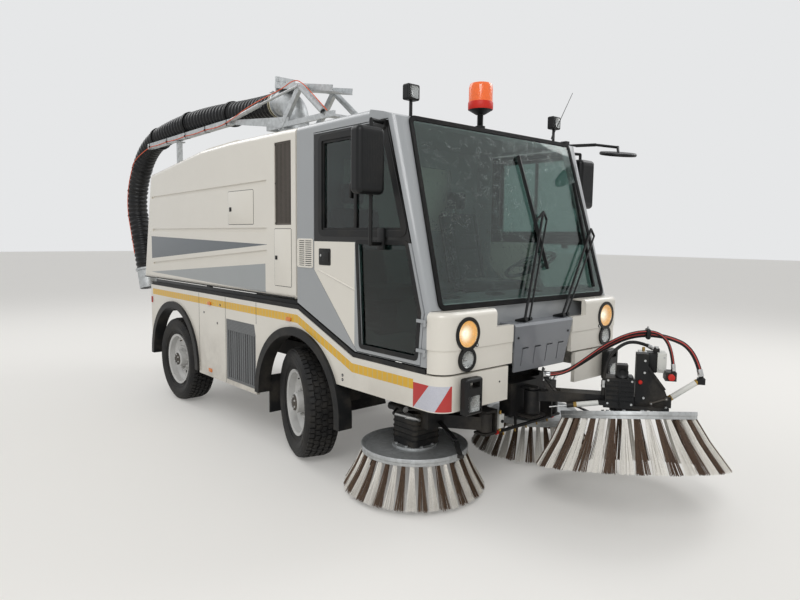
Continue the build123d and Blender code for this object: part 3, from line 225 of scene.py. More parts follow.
def skirtTape(finish, shade):
    x, y, z = finish.axes()
    slope = tape["slope"] * (y - tape["bend"]).maths("MINIMUM", 0.0)
    top = (slope + tape["high"]).maths("MAXIMUM", tape["low"])
    inside = (z < top) * (z > top - tape["width"]) * (abs(x) > tape["side"]) * y.between(*tape["span"])
    cell = (y * tape["cellsPerMetre"]).maths("FRACT").between(*tape["cell"])
    band = finish.mix(inside, shade, finish.mix(cell, tape["seam"], amberColour))
    along = 1 - y - abs(x)
    slant = along - (z - 0.7) * board["lean"]
    field = along.between(*board["span"]) * z.between(*board["height"]) * (y < board["front"])
    white = finish.mix(finish.cells(260.0), *board["whites"])
    hazard = finish.mix(slant.between(*board["white"]), redColour, white)
    return finish.mix(field, band, hazard)


# the panel ends at the sill and at its front edge; above the sill the rubber runs up to the roof
doorMarks = {"sill": 1.706, "panelFront": -0.752, "roof": 2.466, "cornerY": -1.09, "cornerZ": 2.44}


def doorColours(finish, shade):
    y, z = finish.axes()[1:]
    panel = (z < doorMarks["sill"]) * (y > doorMarks["panelFront"])
    framed = (z > doorMarks["sill"]) * (z < doorMarks["roof"])
    rubber = framed * (1 - (y < doorMarks["cornerY"]) * (z > doorMarks["cornerZ"]))
    finish.feed("Coat Weight", 0.5 * (1 - rubber))
    return finish.mix(rubber, finish.mix(panel, silverColour, shade), tint(9, 10, 11))


# the beam's upper edge and its middle, both as lines that fall or drift behind the place "from"
beam = {"from": 1.6, "top": 2.858, "fall": 0.061, "x": -0.69, "drift": 0.1177, "half": 0.036, "start": 1.5}


def boomColours(finish, shade):
    # the beam stays zinc and the hoops that hold the hose over it are black
    x, y, z = finish.axes()
    back = y - beam["from"]
    above = z > beam["top"] - beam["fall"] * back
    beside = abs(x - beam["x"] + beam["drift"] * back) > beam["half"]
    hoops = (above + beside).maths("MINIMUM", 1.0) * (y > beam["start"])
    return finish.mix(hoops, shade, tint(20, 21, 22))


def metalFinish(colour, rough, grain, spangle=0.0, filth=0.35, metal=0.85, top=1.6, colourOf=None):
    finish = Finish({})
    patch = finish.noise(7.0, 4.0)
    shade = finish.mix(patch * 0.6, colour, shaded(colour, 0.72))
    if spangle:
        flake = finish.cells(38.0, "Color")
        share = finish.node("ShaderNodeSeparateColor", {}, {0: flake}, 0)
        shade = finish.mix(share * spangle, shade, shaded(colour, 1.35))
    if colourOf:
        shade = colourOf(finish, shade)
    film, skin = dirt(finish, shade, filth, top)
    finish.feed("Base Color", skin)
    finish.feed("Metallic", metal * (1 - film.rise(0.2, 0.8)))
    finish.feed("Roughness", rough + 0.2 * patch + 0.25 * film)
    finish.bump(finish.noise(grain, 3.0), 0.16, 0.0015)
    return finish.material


def dullFinish(colour, rough, grain, dust, depth=0.001, top=1.4, dustColour=(112, 104, 92)):
    finish = Finish({"Specular IOR Level": 0.3})
    cloud = finish.noise(5.0, 5.0, 0.65)
    z = finish.axes()[2]
    low = 0.35 + 0.65 * (1 - z.rise(0.2, top))
    film = cloud.rise(0.42, 0.78) * low * dust
    shade = finish.mix(cloud * 0.6, colour, shaded(colour, 1.5))
    finish.feed("Base Color", finish.mix(film, shade, tint(*dustColour)))
    finish.feed("Roughness", rough + 0.25 * film + 0.08 * cloud)
    finish.bump(finish.noise(grain, 2.0), 0.3, depth)
    return finish.material


def tyreFinish():
    finish = Finish({"Specular IOR Level": 0.35})
    cloud = finish.noise(9.0, 5.0, 0.6)
    grit = finish.noise(190.0, 3.0)
    film = cloud.rise(0.35, 0.75) * 0.4
    finish.feed("Base Color", finish.mix(film, tint(18, 18, 19), tint(66, 62, 56)))
    finish.feed("Roughness", 0.5 + 0.25 * cloud)
    finish.bump(grit, 0.35, 0.0015)
    return finish.material


def glassFinish(colour, rough, droplets):
    finish = Finish({"Base Color": colour, "Transmission Weight": 1.0, "IOR": 1.45, "Roughness": rough})
    drops = (1 - finish.cells(95.0).rise(0.08, 0.4)) * finish.noise(17.0).rise(0.5, 0.6)
    streak = finish.noise(2.2, 3.0, at=finish.stretched((1.0, 1.0, 0.25)))
    finish.bump(drops * droplets + streak * 0.06, 0.3, 0.002)
    return finish.material


def meshFinish(colour, pitch, gapShade=0.55):
    # woven wire behind slats; the gaps between the wires are painted darker, as painted shade behind the mesh
    finish = Finish({"Metallic": 0.2})
    y, z = finish.axes()[1:]
    across = abs((y / pitch).maths("FRACT") - 0.5)
    upright = abs((z / pitch).maths("FRACT") - 0.5)
    wire = ((across > 0.3) + (upright > 0.3)).maths("MINIMUM", 1.0)
    cloud = finish.noise(6.0, 4.0)
    shade = finish.mix(cloud * 0.5, colour, shaded(colour, 0.7))
    # painted shade: between the wires the colour is darkened, for the shade behind the mesh
    finish.feed("Base Color", finish.mix(wire, shaded(colour, 1 - gapShade), shade))
    finish.feed("Roughness", 0.5 + 0.2 * cloud)
    finish.bump(wire, 0.5, 0.001)
    return finish.material


def clothFinish():
    finish = Finish({"Sheen Weight": 0.35, "Sheen Roughness": 0.5})
    x, y, z = finish.axes()
    warp = (x * 900.0).maths("SINE")
    weft = ((y + z) * 900.0).maths("SINE")
    weave = warp * weft
    cloud = finish.noise(30.0, 3.0)
    share = 0.35 + 0.3 * weave + 0.3 * cloud
    finish.feed("Base Color", finish.mix(share, tint(30, 31, 34), tint(64, 66, 70)))
    finish.feed("Roughness", 0.85 + 0.1 * cloud)
    finish.bump(weave, 0.3, 0.0008)
    return finish.material


def bristleFinish(root, tip, rootZ):
    finish = Finish({})
    strand = finish.noise(240.0, 2.0, at=finish.stretched((1.0, 1.0, 0.12)))
    patch = finish.noise(14.0, 3.0)
    z = finish.axes()[2]
    down = 1 - z.rise(rootZ - 0.28, rootZ)
    shade = finish.mix(strand.rise(0.35, 0.7), root, tip)
    finish.feed("Base Color", finish.mix(down * patch * 0.3, shade, tint(118, 104, 84)))
    finish.feed("Roughness", 0.55 + 0.25 * strand)
    return finish.material


def lampFinish(colour, glow=0.0, rough=0.12, heart=None):
    # heart: (x, z, radius, colour) of a bulb that shows white-hot through the reflector
    finish = Finish({"Coat Weight": 0.6, "Roughness": rough, "Emission Strength": glow})
    facets = finish.cells(70.0)
    shade = finish.mix(facets, colour, shaded(colour, 0.78))
    if heart:
        x, _, z = finish.axes()
        across, upright = abs(x) - heart[0], z - heart[1]
        reach = (across * across + upright * upright).maths("SQRT")
        shade = finish.mix(1 - reach.rise(0.1 * heart[2], heart[2]), shade, heart[3])
    finish.feed("Base Color", shade)
    if glow:
        finish.feed("Emission Color", shade)
    finish.bump(facets, 0.35, 0.002)
    return finish.material


finishes = {
    "hopperPaint": paintFinish(whiteColour, 0.28, 1.5, colourOf=hopperStripes),
    "whitePaint": paintFinish(whiteColour, 0.3, 1.3),
    "skirtPaint": paintFinish(whiteColour, 0.5, 1.0, colourOf=skirtTape),
    "doorPaint": paintFinish(whiteColour, 0.3, 1.3, colourOf=doorColours),
    "silverPaint": paintFinish(silverColour, 0.25, 1.4),
    "slatePaint": paintFinish(tint(122, 125, 130), 0.2, 1.2, rough=0.42),
    "chassisBlack": dullFinish(tint(20, 20, 21), 0.42, 180.0, 0.35),
    "castIron": metalFinish(tint(92, 90, 87), 0.55, 120.0, filth=0.6, metal=0.6),
    "rimSilver": metalFinish(tint(214, 214, 212), 0.4, 150.0, filth=0.22, metal=0.3, top=0.9),
    "hubGrey": metalFinish(tint(70, 70, 70), 0.45, 120.0, filth=0.5, metal=0.5),
    "zinc": metalFinish(tint(186, 189, 190), 0.4, 60.0, 0.55, 0.2, 0.8, 2.0),
    "boomZinc": metalFinish(tint(186, 189, 190), 0.4, 60.0, 0.55, 0.2, 0.8, 2.0, colourOf=boomColours),
    "steel": metalFinish(tint(205, 206, 206), 0.2, 300.0, 0.0, 0.15, 1.0),
    "brass": metalFinish(tint(196, 160, 88), 0.3, 200.0, 0.0, 0.2, 1.0),
    "tyreRubber": tyreFinish(),
    "moulding": dullFinish(tint(18, 19, 20), 0.45, 320.0, 0.28),
    "rubber": dullFinish(tint(24, 24, 25), 0.55, 420.0, 0.35, 0.0006),
    "blackPlastic": dullFinish(tint(13, 14, 15), 0.36, 500.0, 0.12, 0.0005),
    "dashTrim": dullFinish(tint(92, 98, 98), 0.6, 480.0, 0.1, 0.0006),
    "hoseRubber": dullFinish(tint(17, 18, 20), 0.3, 240.0, 0.1, 0.0007, top=3.2),
    "screenGlass": glassFinish(tint(196, 216, 210), 0.02, 0.9),
    "sideGlass": glassFinish(tint(98, 120, 116), 0.03, 0.5),
    "lensGlass": glassFinish(tint(236, 238, 238), 0.04, 0.3),
    "mirrorGlass": metalFinish(tint(200, 206, 210), 0.06, 400.0, 0.0, 0.05, 1.0),
    "intakeMesh": meshFinish(tint(104, 97, 90), 0.009),
    "grilleMesh": meshFinish(tint(128, 130, 131), 0.012),
    "seatCloth": clothFinish(),
    "bristleWhite": bristleFinish(tint(224, 220, 212), tint(248, 245, 238), 0.31),
    "bristleBrown": bristleFinish(tint(62, 44, 32), tint(104, 80, 60), 0.31),
    "lampWarm": lampFinish(tint(230, 168, 78), 0.85, heart=(0.778, 1.166, 0.07, tint(255, 250, 226))),
    "lampBowl": metalFinish(tint(214, 214, 212), 0.16, 300.0, 0.0, 0.05, 0.9),
    "amberLens": lampFinish(tint(232, 126, 16)),
    "redLens": lampFinish(tint(176, 18, 18)),
    "domeOrange": lampFinish(tint(240, 104, 28), 0.25, 0.2),
    "redPlastic": dullFinish(tint(196, 40, 30), 0.4, 300.0, 0.15, 0.0004),
    "cableOrange": dullFinish(tint(214, 92, 58), 0.5, 300.0, 0.2, 0.0003),
    "hoseStripe": dullFinish(tint(176, 66, 60), 0.45, 300.0, 0.25, 0.0003),
    "whitePlastic": dullFinish(tint(214, 214, 208), 0.35, 300.0, 0.2, 0.0003),
    "tieBeige": dullFinish(tint(206, 196, 160), 0.5, 300.0, 0.15, 0.0003),
}
for name, material in finishes.items():
    material.name = name
print("finishes made:", len(finishes))

wearers = {
    "chassisBlack": "frame_rails axles suction_nozzle arm_turret arm_yoke front_arm side_arm",
    "castIron": "engine knuckle",
    "silverPaint": "cab_shell",
    "whitePaint": "cab_front roof_vent rear_door",
    "slatePaint": "centre_panel",
    "skirtPaint": "skirts",
    "doorPaint": "door",
    "hopperPaint": "hopper_shell",
    "screenGlass": "windscreen",
    "sideGlass": "door_glass",
    "lensGlass": "lamp_lenses",
    "seatCloth": "seats",
    "dashTrim": "dashboard",
    "grilleMesh": "side_grilles",
    "intakeMesh": "intake_grilles",
    "moulding": "wheel_arches",
    "rubber": "mudflaps hydraulic_hose_1 hydraulic_hose_2 hydraulic_hose_3",
    "blackPlastic": "lamp_housings kerb_mirror wipers door_mirror",
    "domeOrange": "beacon",
    "zinc": "boom_pedestal hose_elbow hand_nozzle brush_front brush",
    "boomZinc": "boom_frame",
    "hoseRubber": "suction_hose",
    "tyreRubber": "tyre_front tyre_rear",
    "rimSilver": "rim_front rim_rear",
}
nodeFinish = {node: finish for finish, nodes in wearers.items() for node in nodes.split()}
for name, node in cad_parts.items():
    plain = name.replace("_right", "").replace("_left", "")
    node.data.materials.clear()
    node.data.materials.append(finishes[nodeFinish[plain]])


# Mesh helpers

def roundEdges(bm, edges, width, segments=2):
    bmesh.ops.bevel(bm, geom=list(edges), offset=width, offset_type="OFFSET", segments=segments, profile=0.5,
                    affect="EDGES", material=-1, clamp_overlap=True)


def box(size):
    part = bmesh.new()
    bmesh.ops.create_cube(part, size=1.0)
    bmesh.ops.scale(part, vec=size, verts=part.verts)
    return part


def addBlock(bm, low, high, edge=0.0, segments=2, slot=0):
    low, high = Vector(low), Vector(high)
    part = box(high - low)
    if edge:
        roundEdges(part, part.edges, edge, segments)
    join(bm, part, slot, Matrix.Translation((low + high) / 2))


def moved(bm, matrix):
    bmesh.ops.transform(bm, matrix=matrix, verts=bm.verts)
    return bm


def join(bm, part, slot=0, matrix=None):
    # adds the faces of part to bm, all with one material slot, or with None each with its own
    if matrix:
        moved(part, matrix)
    if slot is not None:
        for face in part.faces:
            face.material_index = slot
    holder = bpy.data.meshes.new("holder")
    part.to_mesh(holder)
    part.free()
    bm.from_mesh(holder)
    bpy.data.meshes.remove(holder)


def alongAxis(start, end):
    start, end = Vector(start), Vector(end)
    return Matrix.Translation(start) @ (end - start).to_track_quat("Z", "Y").to_matrix().to_4x4()


def addRod(bm, start, end, radius, endRadius=None, segments=20, slot=0, edge=0.0):
    part = bmesh.new()
    length = (Vector(end) - Vector(start)).length
    bmesh.ops.create_cone(part, cap_ends=True, segments=segments, radius1=radius,
                          radius2=radius if endRadius is None else endRadius, depth=length)
    bmesh.ops.translate(part, vec=(0, 0, length / 2), verts=part.verts)
    if edge:
        rims = [e for e in part.edges if abs(e.verts[0].co.z - e.verts[1].co.z) < 1e-6]
        roundEdges(part, rims, edge)
    join(bm, part, slot, alongAxis(start, end))


def addHexes(bm, places, way, radius, slot=0):
    # six-sided heads that all stand the same way
    for place in places:
        addRod(bm, place, Vector(place) + Vector(way), radius, segments=6, slot=slot)


def steps(start, step, count):
    return [start + step * k for k in range(count)]


def circle(count, radius, offset=0.0):
    # points evenly round a circle; offset is a share of one step
    turns = (math.tau * (k + offset) / count for k in range(count))
    return [(radius * math.cos(a), radius * math.sin(a)) for a in turns]


def addLathe(bm, profile, matrix, segments, slot=0):
    # profile: (radius, height) points about the local Z axis
    part = bmesh.new()
    verts = [part.verts.new((r, 0, h)) for r, h in profile]
    edges = [part.edges.new(pair) for pair in zip(verts, verts[1:])]
    bmesh.ops.spin(part, geom=verts + edges, cent=(0, 0, 0), axis=(0, 0, 1), angle=math.tau, steps=segments,
                   use_merge=True, use_duplicate=False)
    bmesh.ops.remove_doubles(part, verts=part.verts, dist=1e-5)
    bmesh.ops.recalc_face_normals(part, faces=part.faces)
    join(bm, part, slot, matrix)


def thicken(part, faces, thickness):
    made = bmesh.ops.extrude_face_region(part, geom=faces)
    top = [v for v in made["geom"] if isinstance(v, bmesh.types.BMVert)]
    bmesh.ops.translate(part, vec=(0, 0, thickness), verts=top)
    bmesh.ops.recalc_face_normals(part, faces=part.faces)


def addPlate(bm, outline, thickness, matrix, edge=0.0, slot=0):
    # flat plate: outline in local X and Y, thickness along local Z
    part = bmesh.new()
    thicken(part, [part.faces.new([part.verts.new((x, y, 0)) for x, y in outline])], thickness)
    if edge:
        roundEdges(part, part.edges, edge)
    join(bm, part, slot, matrix)


def addPanel(bm, span, corner, thickness, matrix, edge=0.0, slot=0):
    # plate with round corners; span: low and high along local X, then along local Y
    addPlate(bm, rounded(rectangle(*span), corner), thickness, matrix, edge, slot)


def sidePlane(x):
    # local X along the truck, local Y up, local Z outwards on the left side
    return Matrix(((0, 0, 1, x), (1, 0, 0, 0), (0, 1, 0, 0), (0, 0, 0, 1)))


def slopePlane(foot, head, facing=-1):
    # local Y up a slope from foot to head (y, z), local Z out of it, to the front (-1) or the rear (1)
    up = Vector((0, head[0] - foot[0], head[1] - foot[1])).normalized()
    out = Vector((0, up.z, -up.y)) * facing
    return Matrix.Translation((0, *foot)) @ Matrix((up.cross(out), up, out)).transposed().to_4x4()


def flipped(bm):
    # turned over to the other side of the truck
    bmesh.ops.scale(bm, vec=(-1, 1, 1), verts=bm.verts)
    bmesh.ops.reverse_faces(bm, faces=bm.faces)
    return bm


def mirrorInto(bm):
    # adds the other side of everything in bm
    join(bm, flipped(bm.copy()), None)


def makePiece(name, bm, names, body, angle=32.0, replaces=()):
    bmesh.ops.translate(bm, vec=(0, axleY, 0), verts=bm.verts)
    mesh = bpy.data.meshes.new(name)
    bm.to_mesh(mesh)
    bm.free()
    mesh.shade_smooth()
    mesh.set_sharp_from_angle(angle=math.radians(angle))
    for finish in names:
        mesh.materials.append(finishes[finish])
    piece = bpy.data.objects.new(name, mesh)
    scene.collection.objects.link(piece)
    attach(piece, body)
    if replaces:
        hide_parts(*replaces)
    return piece


def grown(outline, distance):
    # closed outline moved outwards, corner by corner
    points = [Vector(p) for p in outline]
    loop = list(zip(points, points[1:] + points[:1]))
    turn = 1 if sum(a.x * b.y - b.x * a.y for a, b in loop) > 0 else -1
    made = []
    for i, here in enumerate(points):
        before = (here - points[i - 1]).normalized()
        after = (points[(i + 1) % len(points)] - here).normalized()
        outBefore = Vector((before.y, -before.x)) * turn
        miter = (outBefore + Vector((after.y, -after.x)) * turn).normalized()
        made.append(here + miter * (distance / miter.dot(outBefore)))
    return made


def rounded(outline, radius, parts=4):
    # closed outline with each corner turned into an arc
    points = [Vector(p) for p in outline]
    made = []
    for i, here in enumerate(points):
        before = (points[i - 1] - here).normalized()
        after = (points[(i + 1) % len(points)] - here).normalized()
        reach = radius / math.tan(before.angle(after) / 2)
        start, end = here + before * reach, here + after * reach
        for k in range(parts + 1):
            share = k / parts
            made.append(start.lerp(here, share).lerp(here.lerp(end, share), share))
    return made


def rectangle(x0, x1, y0, y1):
    return [(x0, y0), (x1, y0), (x1, y1), (x0, y1)]


def addFrame(bm, outline, outward, inward, thickness, matrix, slot=0, edge=0.0):
    # flat ring that follows a closed outline
    part = bmesh.new()
    loops = []
    for distance in (outward, -inward):
        verts = [part.verts.new((p.x, p.y, 0)) for p in grown(outline, distance)]
        loops.append([part.edges.new(pair) for pair in zip(verts, verts[1:] + verts[:1])])
    faces = bmesh.ops.bridge_loops(part, edges=loops[0] + loops[1])["faces"]
    thicken(part, faces, thickness)
    if edge:
        raised = [e for e in part.edges if all(v.co.z > thickness / 2 for v in e.verts)]
        roundEdges(part, [e for e in raised if e.calc_face_angle(0) > 1], edge, 1)
    join(bm, part, slot, matrix)


def outwards(x, y, z):
    # local Z towards the front of the truck
    return Matrix.Translation((x, y, z)) @ Matrix.Rotation(math.pi / 2, 4, "X")


def bothSides(name, build, finishNames, body):
    # one piece for each side of the truck, made for the left and turned over for the right
    for side, sign in sides.items():
        bm = bmesh.new()
        build(bm)
        if sign < 0:
            flipped(bm)
        makePiece(name + "_" + side, bm, finishNames, body.format(side))


# Camera, floor and light

view = {"place": (-3.588, -4.134, 1.748), "yaw": -0.7254, "pitch": -0.1004, "roll": 0.0116, "lens": 28.42}


def makeCamera():
    turn = (Matrix.Rotation(view["yaw"], 4, "Z") @ Matrix.Rotation(math.pi / 2 + view["pitch"], 4, "X")
            @ Matrix.Rotation(view["roll"], 4, "Z"))
    data = bpy.data.cameras.new("camera")
    data.lens = view["lens"]
    data.sensor_width = 36.0
    data.clip_end = 200.0
    camera = bpy.data.objects.new("camera", data)
    camera.matrix_world = Matrix.Translation(shifted(view["place"])) @ turn
    scene.collection.objects.link(camera)
    scene.camera = camera


studio = {"floorColour": (222, 220, 216), "skyColour": (230, 231, 232), "skyPower": 0.66, "floorLift": 0.24,
          "floorHalf": 60.0, "aim": (0, 0.4, 1.0)}

# place, size, power
areaLamps = (
    ((-6.5, -7.0, 7.5), 5.0, 370.0),
    ((7.5, -3.0, 7.0), 5.0, 210.0),
    ((-2.0, 8.0, 8.0), 6.0, 190.0),
)


def makeStudio():
    floor = Finish({"Roughness": 0.75, "Emission Strength": studio["floorLift"]})
    cloud = floor.noise(0.8, 4.0)
    pale = tint(*studio["floorColour"])
    floor.feed("Base Color", floor.mix(cloud * 0.25, pale, shaded(pale, 0.93)))
    floor.feed("Emission Color", floor.mix(floor.seen(), (0, 0, 0), pale))
    bm = bmesh.new()
    bmesh.ops.create_grid(bm, x_segments=2, y_segments=2, size=studio["floorHalf"])
    mesh = bpy.data.meshes.new("floor")
    bm.to_mesh(mesh)
    bm.free()
    mesh.materials.append(floor.material)
    ground = bpy.data.objects.new("floor", mesh)
    scene.collection.objects.link(ground)

    world = bpy.data.worlds.new("sky")
    scene.world = world
    world.use_nodes = True
    sky, background = Graph(world.node_tree), world.node_tree.nodes["Background"]
    sky.put(background.inputs["Color"], tint(*studio["skyColour"]))
    sky.put(background.inputs["Strength"], studio["skyPower"] + (1 - studio["skyPower"]) * sky.seen())
    for place, size, power in areaLamps:
        lamp = bpy.data.lights.new("lamp", "AREA")
        lamp.shape = "DISK"
        lamp.size = size
        lamp.energy = power
        holder = bpy.data.objects.new("lamp", lamp)
        aim = Vector(studio["aim"]) - Vector(place)
        holder.matrix_world = Matrix.Translation(place) @ aim.to_track_quat("-Z", "Y").to_matrix().to_4x4()
        scene.collection.objects.link(holder)
    scene.view_settings.view_transform = "Standard"


makeCamera()
makeStudio()
print("camera and studio set")


# Tyres and wheels

tyre = {
    "radius": 0.433, "groove": 0.013, "pitches": 58,
    # half of the section (radius, across), from the bead to the shoulder
    "wall": ((0.2483, -0.0865), (0.276, -0.0945), (0.292, -0.106), (0.318, -0.1215), (0.352, -0.1318),
             (0.374, -0.1312), (0.398, -0.1245), (0.412, -0.113), (0.42, -0.099)),
    # rows of blocks: place across the tread, share of a pitch they start at
    "rows": ((-0.092, 0.0), (-0.0475, 0.45), (0.0, 0.1), (0.0475, 0.55), (0.092, 0.0)),
    # shoulder and middle: length as a share of a pitch
    "block": {"across": 0.036, "shoulder": 0.8, "middle": 0.88, "lean": 0.006, "sunk": 0.002,
              "below": 0.0006, "taper": (0.93, 0.92), "shoulderDrop": 0.009},
    # raised rings: radius, half height, distance from the middle
    "rings": ((0.302, 0.006, 0.1155), (0.366, 0.005, 0.1335), (0.386, 0.004, 0.1295)),
}
axle = {"track": 0.864, "wheelbase": 2.35, "kingpin": 0.74, "restTurn": -16.6}


def wheelMatrix(sign, front):
    turnOver = Matrix.Rotation(0 if sign > 0 else math.pi, 4, "Z")
    if not front:
        return Matrix.Translation((sign * axle["track"], axle["wheelbase"], tyre["radius"])) @ turnOver
    pin = Matrix.Translation((sign * axle["kingpin"], 0, tyre["radius"]))
    steer = Matrix.Rotation(math.radians(axle["restTurn"]), 4, "Z")
    return pin @ steer @ Matrix.Translation((sign * (axle["track"] - axle["kingpin"]), 0, 0)) @ turnOver


def tyreMesh():
    # casing and wall rings turned about the axle, then tread blocks set round it
    bm = bmesh.new()
    axis = Matrix.Rotation(math.pi / 2, 4, "Y")
    wall = list(tyre["wall"])
    addLathe(bm, wall + [(r, -x) for r, x in wall[::-1]] + wall[:1], axis, 116)
    step = math.tau / tyre["pitches"]
    block = tyre["block"]
    depth = tyre["groove"] + block["sunk"]
    for centre, phase in tyre["rows"]:
        outer = abs(centre) > 0.08
        length = step * tyre["radius"] * block["shoulder" if outer else "middle"]
        for i in range(tyre["pitches"]):
            part = box((block["across"], length, depth))
            lean = block["lean"] if (i + round(phase * 4)) % 2 else -block["lean"]
            for vert in part.verts:
                if vert.co.z > 0:
                    vert.co.x *= block["taper"][0]
                    vert.co.y *= block["taper"][1]
                if outer and vert.co.x * centre > 0:
                    vert.co.z -= block["shoulderDrop"]
                vert.co.x += 0 if outer else lean * (1 if vert.co.y > 0 else -1)
            lift = Matrix.Translation((centre, 0, tyre["radius"] - block["below"] - depth / 2))
            join(bm, part, 0, Matrix.Rotation(step * (i + phase), 4, "X") @ lift)
    for sign in (-1, 1):
        for radius, half, out in tyre["rings"]:
            low, high = sign * (out - 0.004), sign * out
            addLathe(bm, [(radius - half, low), (radius - half * 0.6, high), (radius + half * 0.6, high),
                          (radius + half, low)], axis, 80)
    return bm


# distances along the axle from the rim's middle, and the bolt circles
wheel = {"disc": 0.018, "hub": 0.108, "nuts": 0.118, "hubBolts": 0.048,
         # washer, nut and stud end: from, to, radii, segments
         "nut": ((0.0, 0.005, 0.0225, 0.0225, 20), (0.005, 0.027, 0.0185, 0.0165, 6),
                 (0.027, 0.038, 0.0105, 0.009, 12))}


def wheelDetail():
    # nuts and washers on the disc, a bolted cap on the drive hub, and a valve
    bm = bmesh.new()
    disc, hub = wheel["disc"], wheel["hub"]
    for y, z in circle(10, wheel["nuts"]):
        for low, high, *size in wheel["nut"]:
            addRod(bm, (disc + low, y, z), (disc + high, y, z), *size)
    addLathe(bm, [(0.0, hub + 0.02), (0.028, hub + 0.02), (0.034, hub + 0.012), (0.058, hub + 0.011),
                  (0.063, hub + 0.006), (0.063, hub)], Matrix.Rotation(math.pi / 2, 4, "Y"), 40, 1)
    addHexes(bm, [(hub + 0.009, y, z) for y, z in circle(6, wheel["hubBolts"], 0.5)], (0.009, 0, 0), 0.0085)
    addRod(bm, (disc + 0.012, 0.0, 0.203), (disc + 0.052, 0.0, 0.19), 0.0045, slot=2)
    addRod(bm, (disc + 0.046, 0.0, 0.192), (disc + 0.062, 0.0, 0.187), 0.006, slot=3)
    return bm


def makeWheels():
    for side, sign in sides.items():
        for end in ("front", "rear"):
            wheelName = end + "_" + side
            matrix = wheelMatrix(sign, end == "front")
            body = "wheel_" + wheelName
            makePiece("tyre_dress_" + wheelName, moved(tyreMesh(), matrix), ["tyreRubber"], body,
                      28.0, ["tyre_" + wheelName])
            makePiece("wheel_nuts_" + wheelName, moved(wheelDetail(), matrix),
                      ["rimSilver", "hubGrey", "brass", "blackPlastic"], body)


makeWheels()
print("wheels made")


# Brushes

sideBrush = {"place": (0.667, -1.009, 0.31), "plate": 0.371, "tip": 0.494, "drop": 0.26}
frontBrush = {"place": (0.352, -2.026, 0.565), "plate": 0.437, "tip": 0.615, "drop": 0.33, "tilt": 15.6,
              "heading": 48.4}
tufts = {"count": 40, "strands": 54, "thick": 0.0016, "seed": 5, "rootWidth": 0.42, "tipWidth": 0.86,
         "rootDeep": 0.022, "tipDeep": 0.03, "inset": 0.018, "rootZ": -0.026, "bend": 1.15}


def brushMesh(size, seed):
    bm = bmesh.new()
    plate = size["plate"]
    # galvanised plate: dished middle, rolled rim and the ring the tufts come out of
    addLathe(bm, [(0.0, 0.0195), (plate * 0.42, 0.0195), (plate * 0.42, 0.0065), (plate * 0.66, 0.0065),
                  (plate * 0.685, 0.003), (plate - 0.034, 0.003), (plate - 0.02, 0.012),
                  (plate - 0.007, 0.0195), (plate - 0.002, 0.0195), (plate, 0.016), (plate, -0.005),
                  (plate - 0.004, -0.010), (plate - 0.004, -0.028), (plate - 0.052, -0.028),
                  (plate - 0.052, -0.008), (0.0, -0.008)], Matrix.Identity(4), 96)
    addHexes(bm, [(x, y, 0.019) for x, y in circle(8, plate * 0.36, 0.5)], (0, 0, 0.009), 0.011)
    drawn = random.Random(seed)
    span = math.tau / tufts["count"]
    for i in range(tufts["count"]):
        clump = bmesh.new()
        for _ in range(tufts["strands"]):
            sway = drawn.uniform(-0.5, 0.5)
            depth = drawn.uniform(-0.5, 0.5)
            startAngle = span * (i + sway * tufts["rootWidth"])
            endAngle = span * (i + sway * tufts["tipWidth"]) + drawn.gauss(0, 0.007)
            startR = plate - tufts["inset"] + depth * tufts["rootDeep"]
            endR = size["tip"] - tufts["inset"] + depth * tufts["tipDeep"] + drawn.gauss(0, 0.004)
            low = -size["drop"] - 0.02 - drawn.uniform(-0.012, 0.0)
            thick = tufts["thick"] * drawn.uniform(0.8, 1.25)
            rings = []
            for share in (0.0, 0.45, 1.0):
                angle = startAngle + (endAngle - startAngle) * share
                radius = startR + (endR - startR) * share ** tufts["bend"]
                centre = Vector((radius * math.cos(angle), radius * math.sin(angle),
                                 tufts["rootZ"] + (low - tufts["rootZ"]) * share))
                rings.append([clump.verts.new(centre + Vector((math.cos(a), math.sin(a), 0)) * thick)
                              for a in (0.3, 2.4, 4.5)])
            for near, far in zip(rings, rings[1:]):
                for n in range(3):
                    clump.faces.new((near[n], near[(n + 1) % 3], far[(n + 1) % 3], far[n]))
            clump.faces.new(rings[-1])
            clump.faces.new(rings[0][::-1])
        bmesh.ops.recalc_face_normals(clump, faces=clump.faces)
        join(bm, clump, 1 if i % 2 else 2)
    return bm


def makeBrush(side, body, size, seed, matrix):
    makePiece("brush_dress_" + side, moved(brushMesh(size, seed), matrix),
              ["zinc", "bristleWhite", "bristleBrown"], body, 30.0, ["brush_" + side])


def makeBrushes():
    x, y, z = sideBrush["place"]
    for side, sign in sides.items():
        matrix = Matrix.Translation((sign * x, y, z))
        makeBrush(side, "side_brush_" + side, sideBrush, tufts["seed"] + sign, matrix)
    heading, tilt = math.radians(frontBrush["heading"]), math.radians(frontBrush["tilt"])
    axis = Vector((math.cos(heading) * math.sin(tilt), math.sin(heading) * math.sin(tilt), math.cos(tilt)))
    turn = Vector((0, 0, 1)).rotation_difference(axis).to_matrix().to_4x4()
    matrix = Matrix.Translation(frontBrush["place"]) @ turn
    makeBrush("front", "front_brush", frontBrush, tufts["seed"], matrix)


makeBrushes()
print("brushes made")


# Suction hose

hose = {"route": [(-0.5, 1.0103, 2.93), (-0.5, 1.4, 2.93), (-0.62, 2.23, 2.955), (-0.72, 2.92, 2.9),
                  (-0.788, 3.56, 2.76), (-0.822, 3.93, 2.18), (-0.815, 3.72, 1.62), (-0.805, 3.65, 1.33)],
        "outer": 0.1148, "pitch": 0.056,
        "ribs": (0.0, -0.0012, -0.0072, -0.0105, -0.0072, -0.0012)}


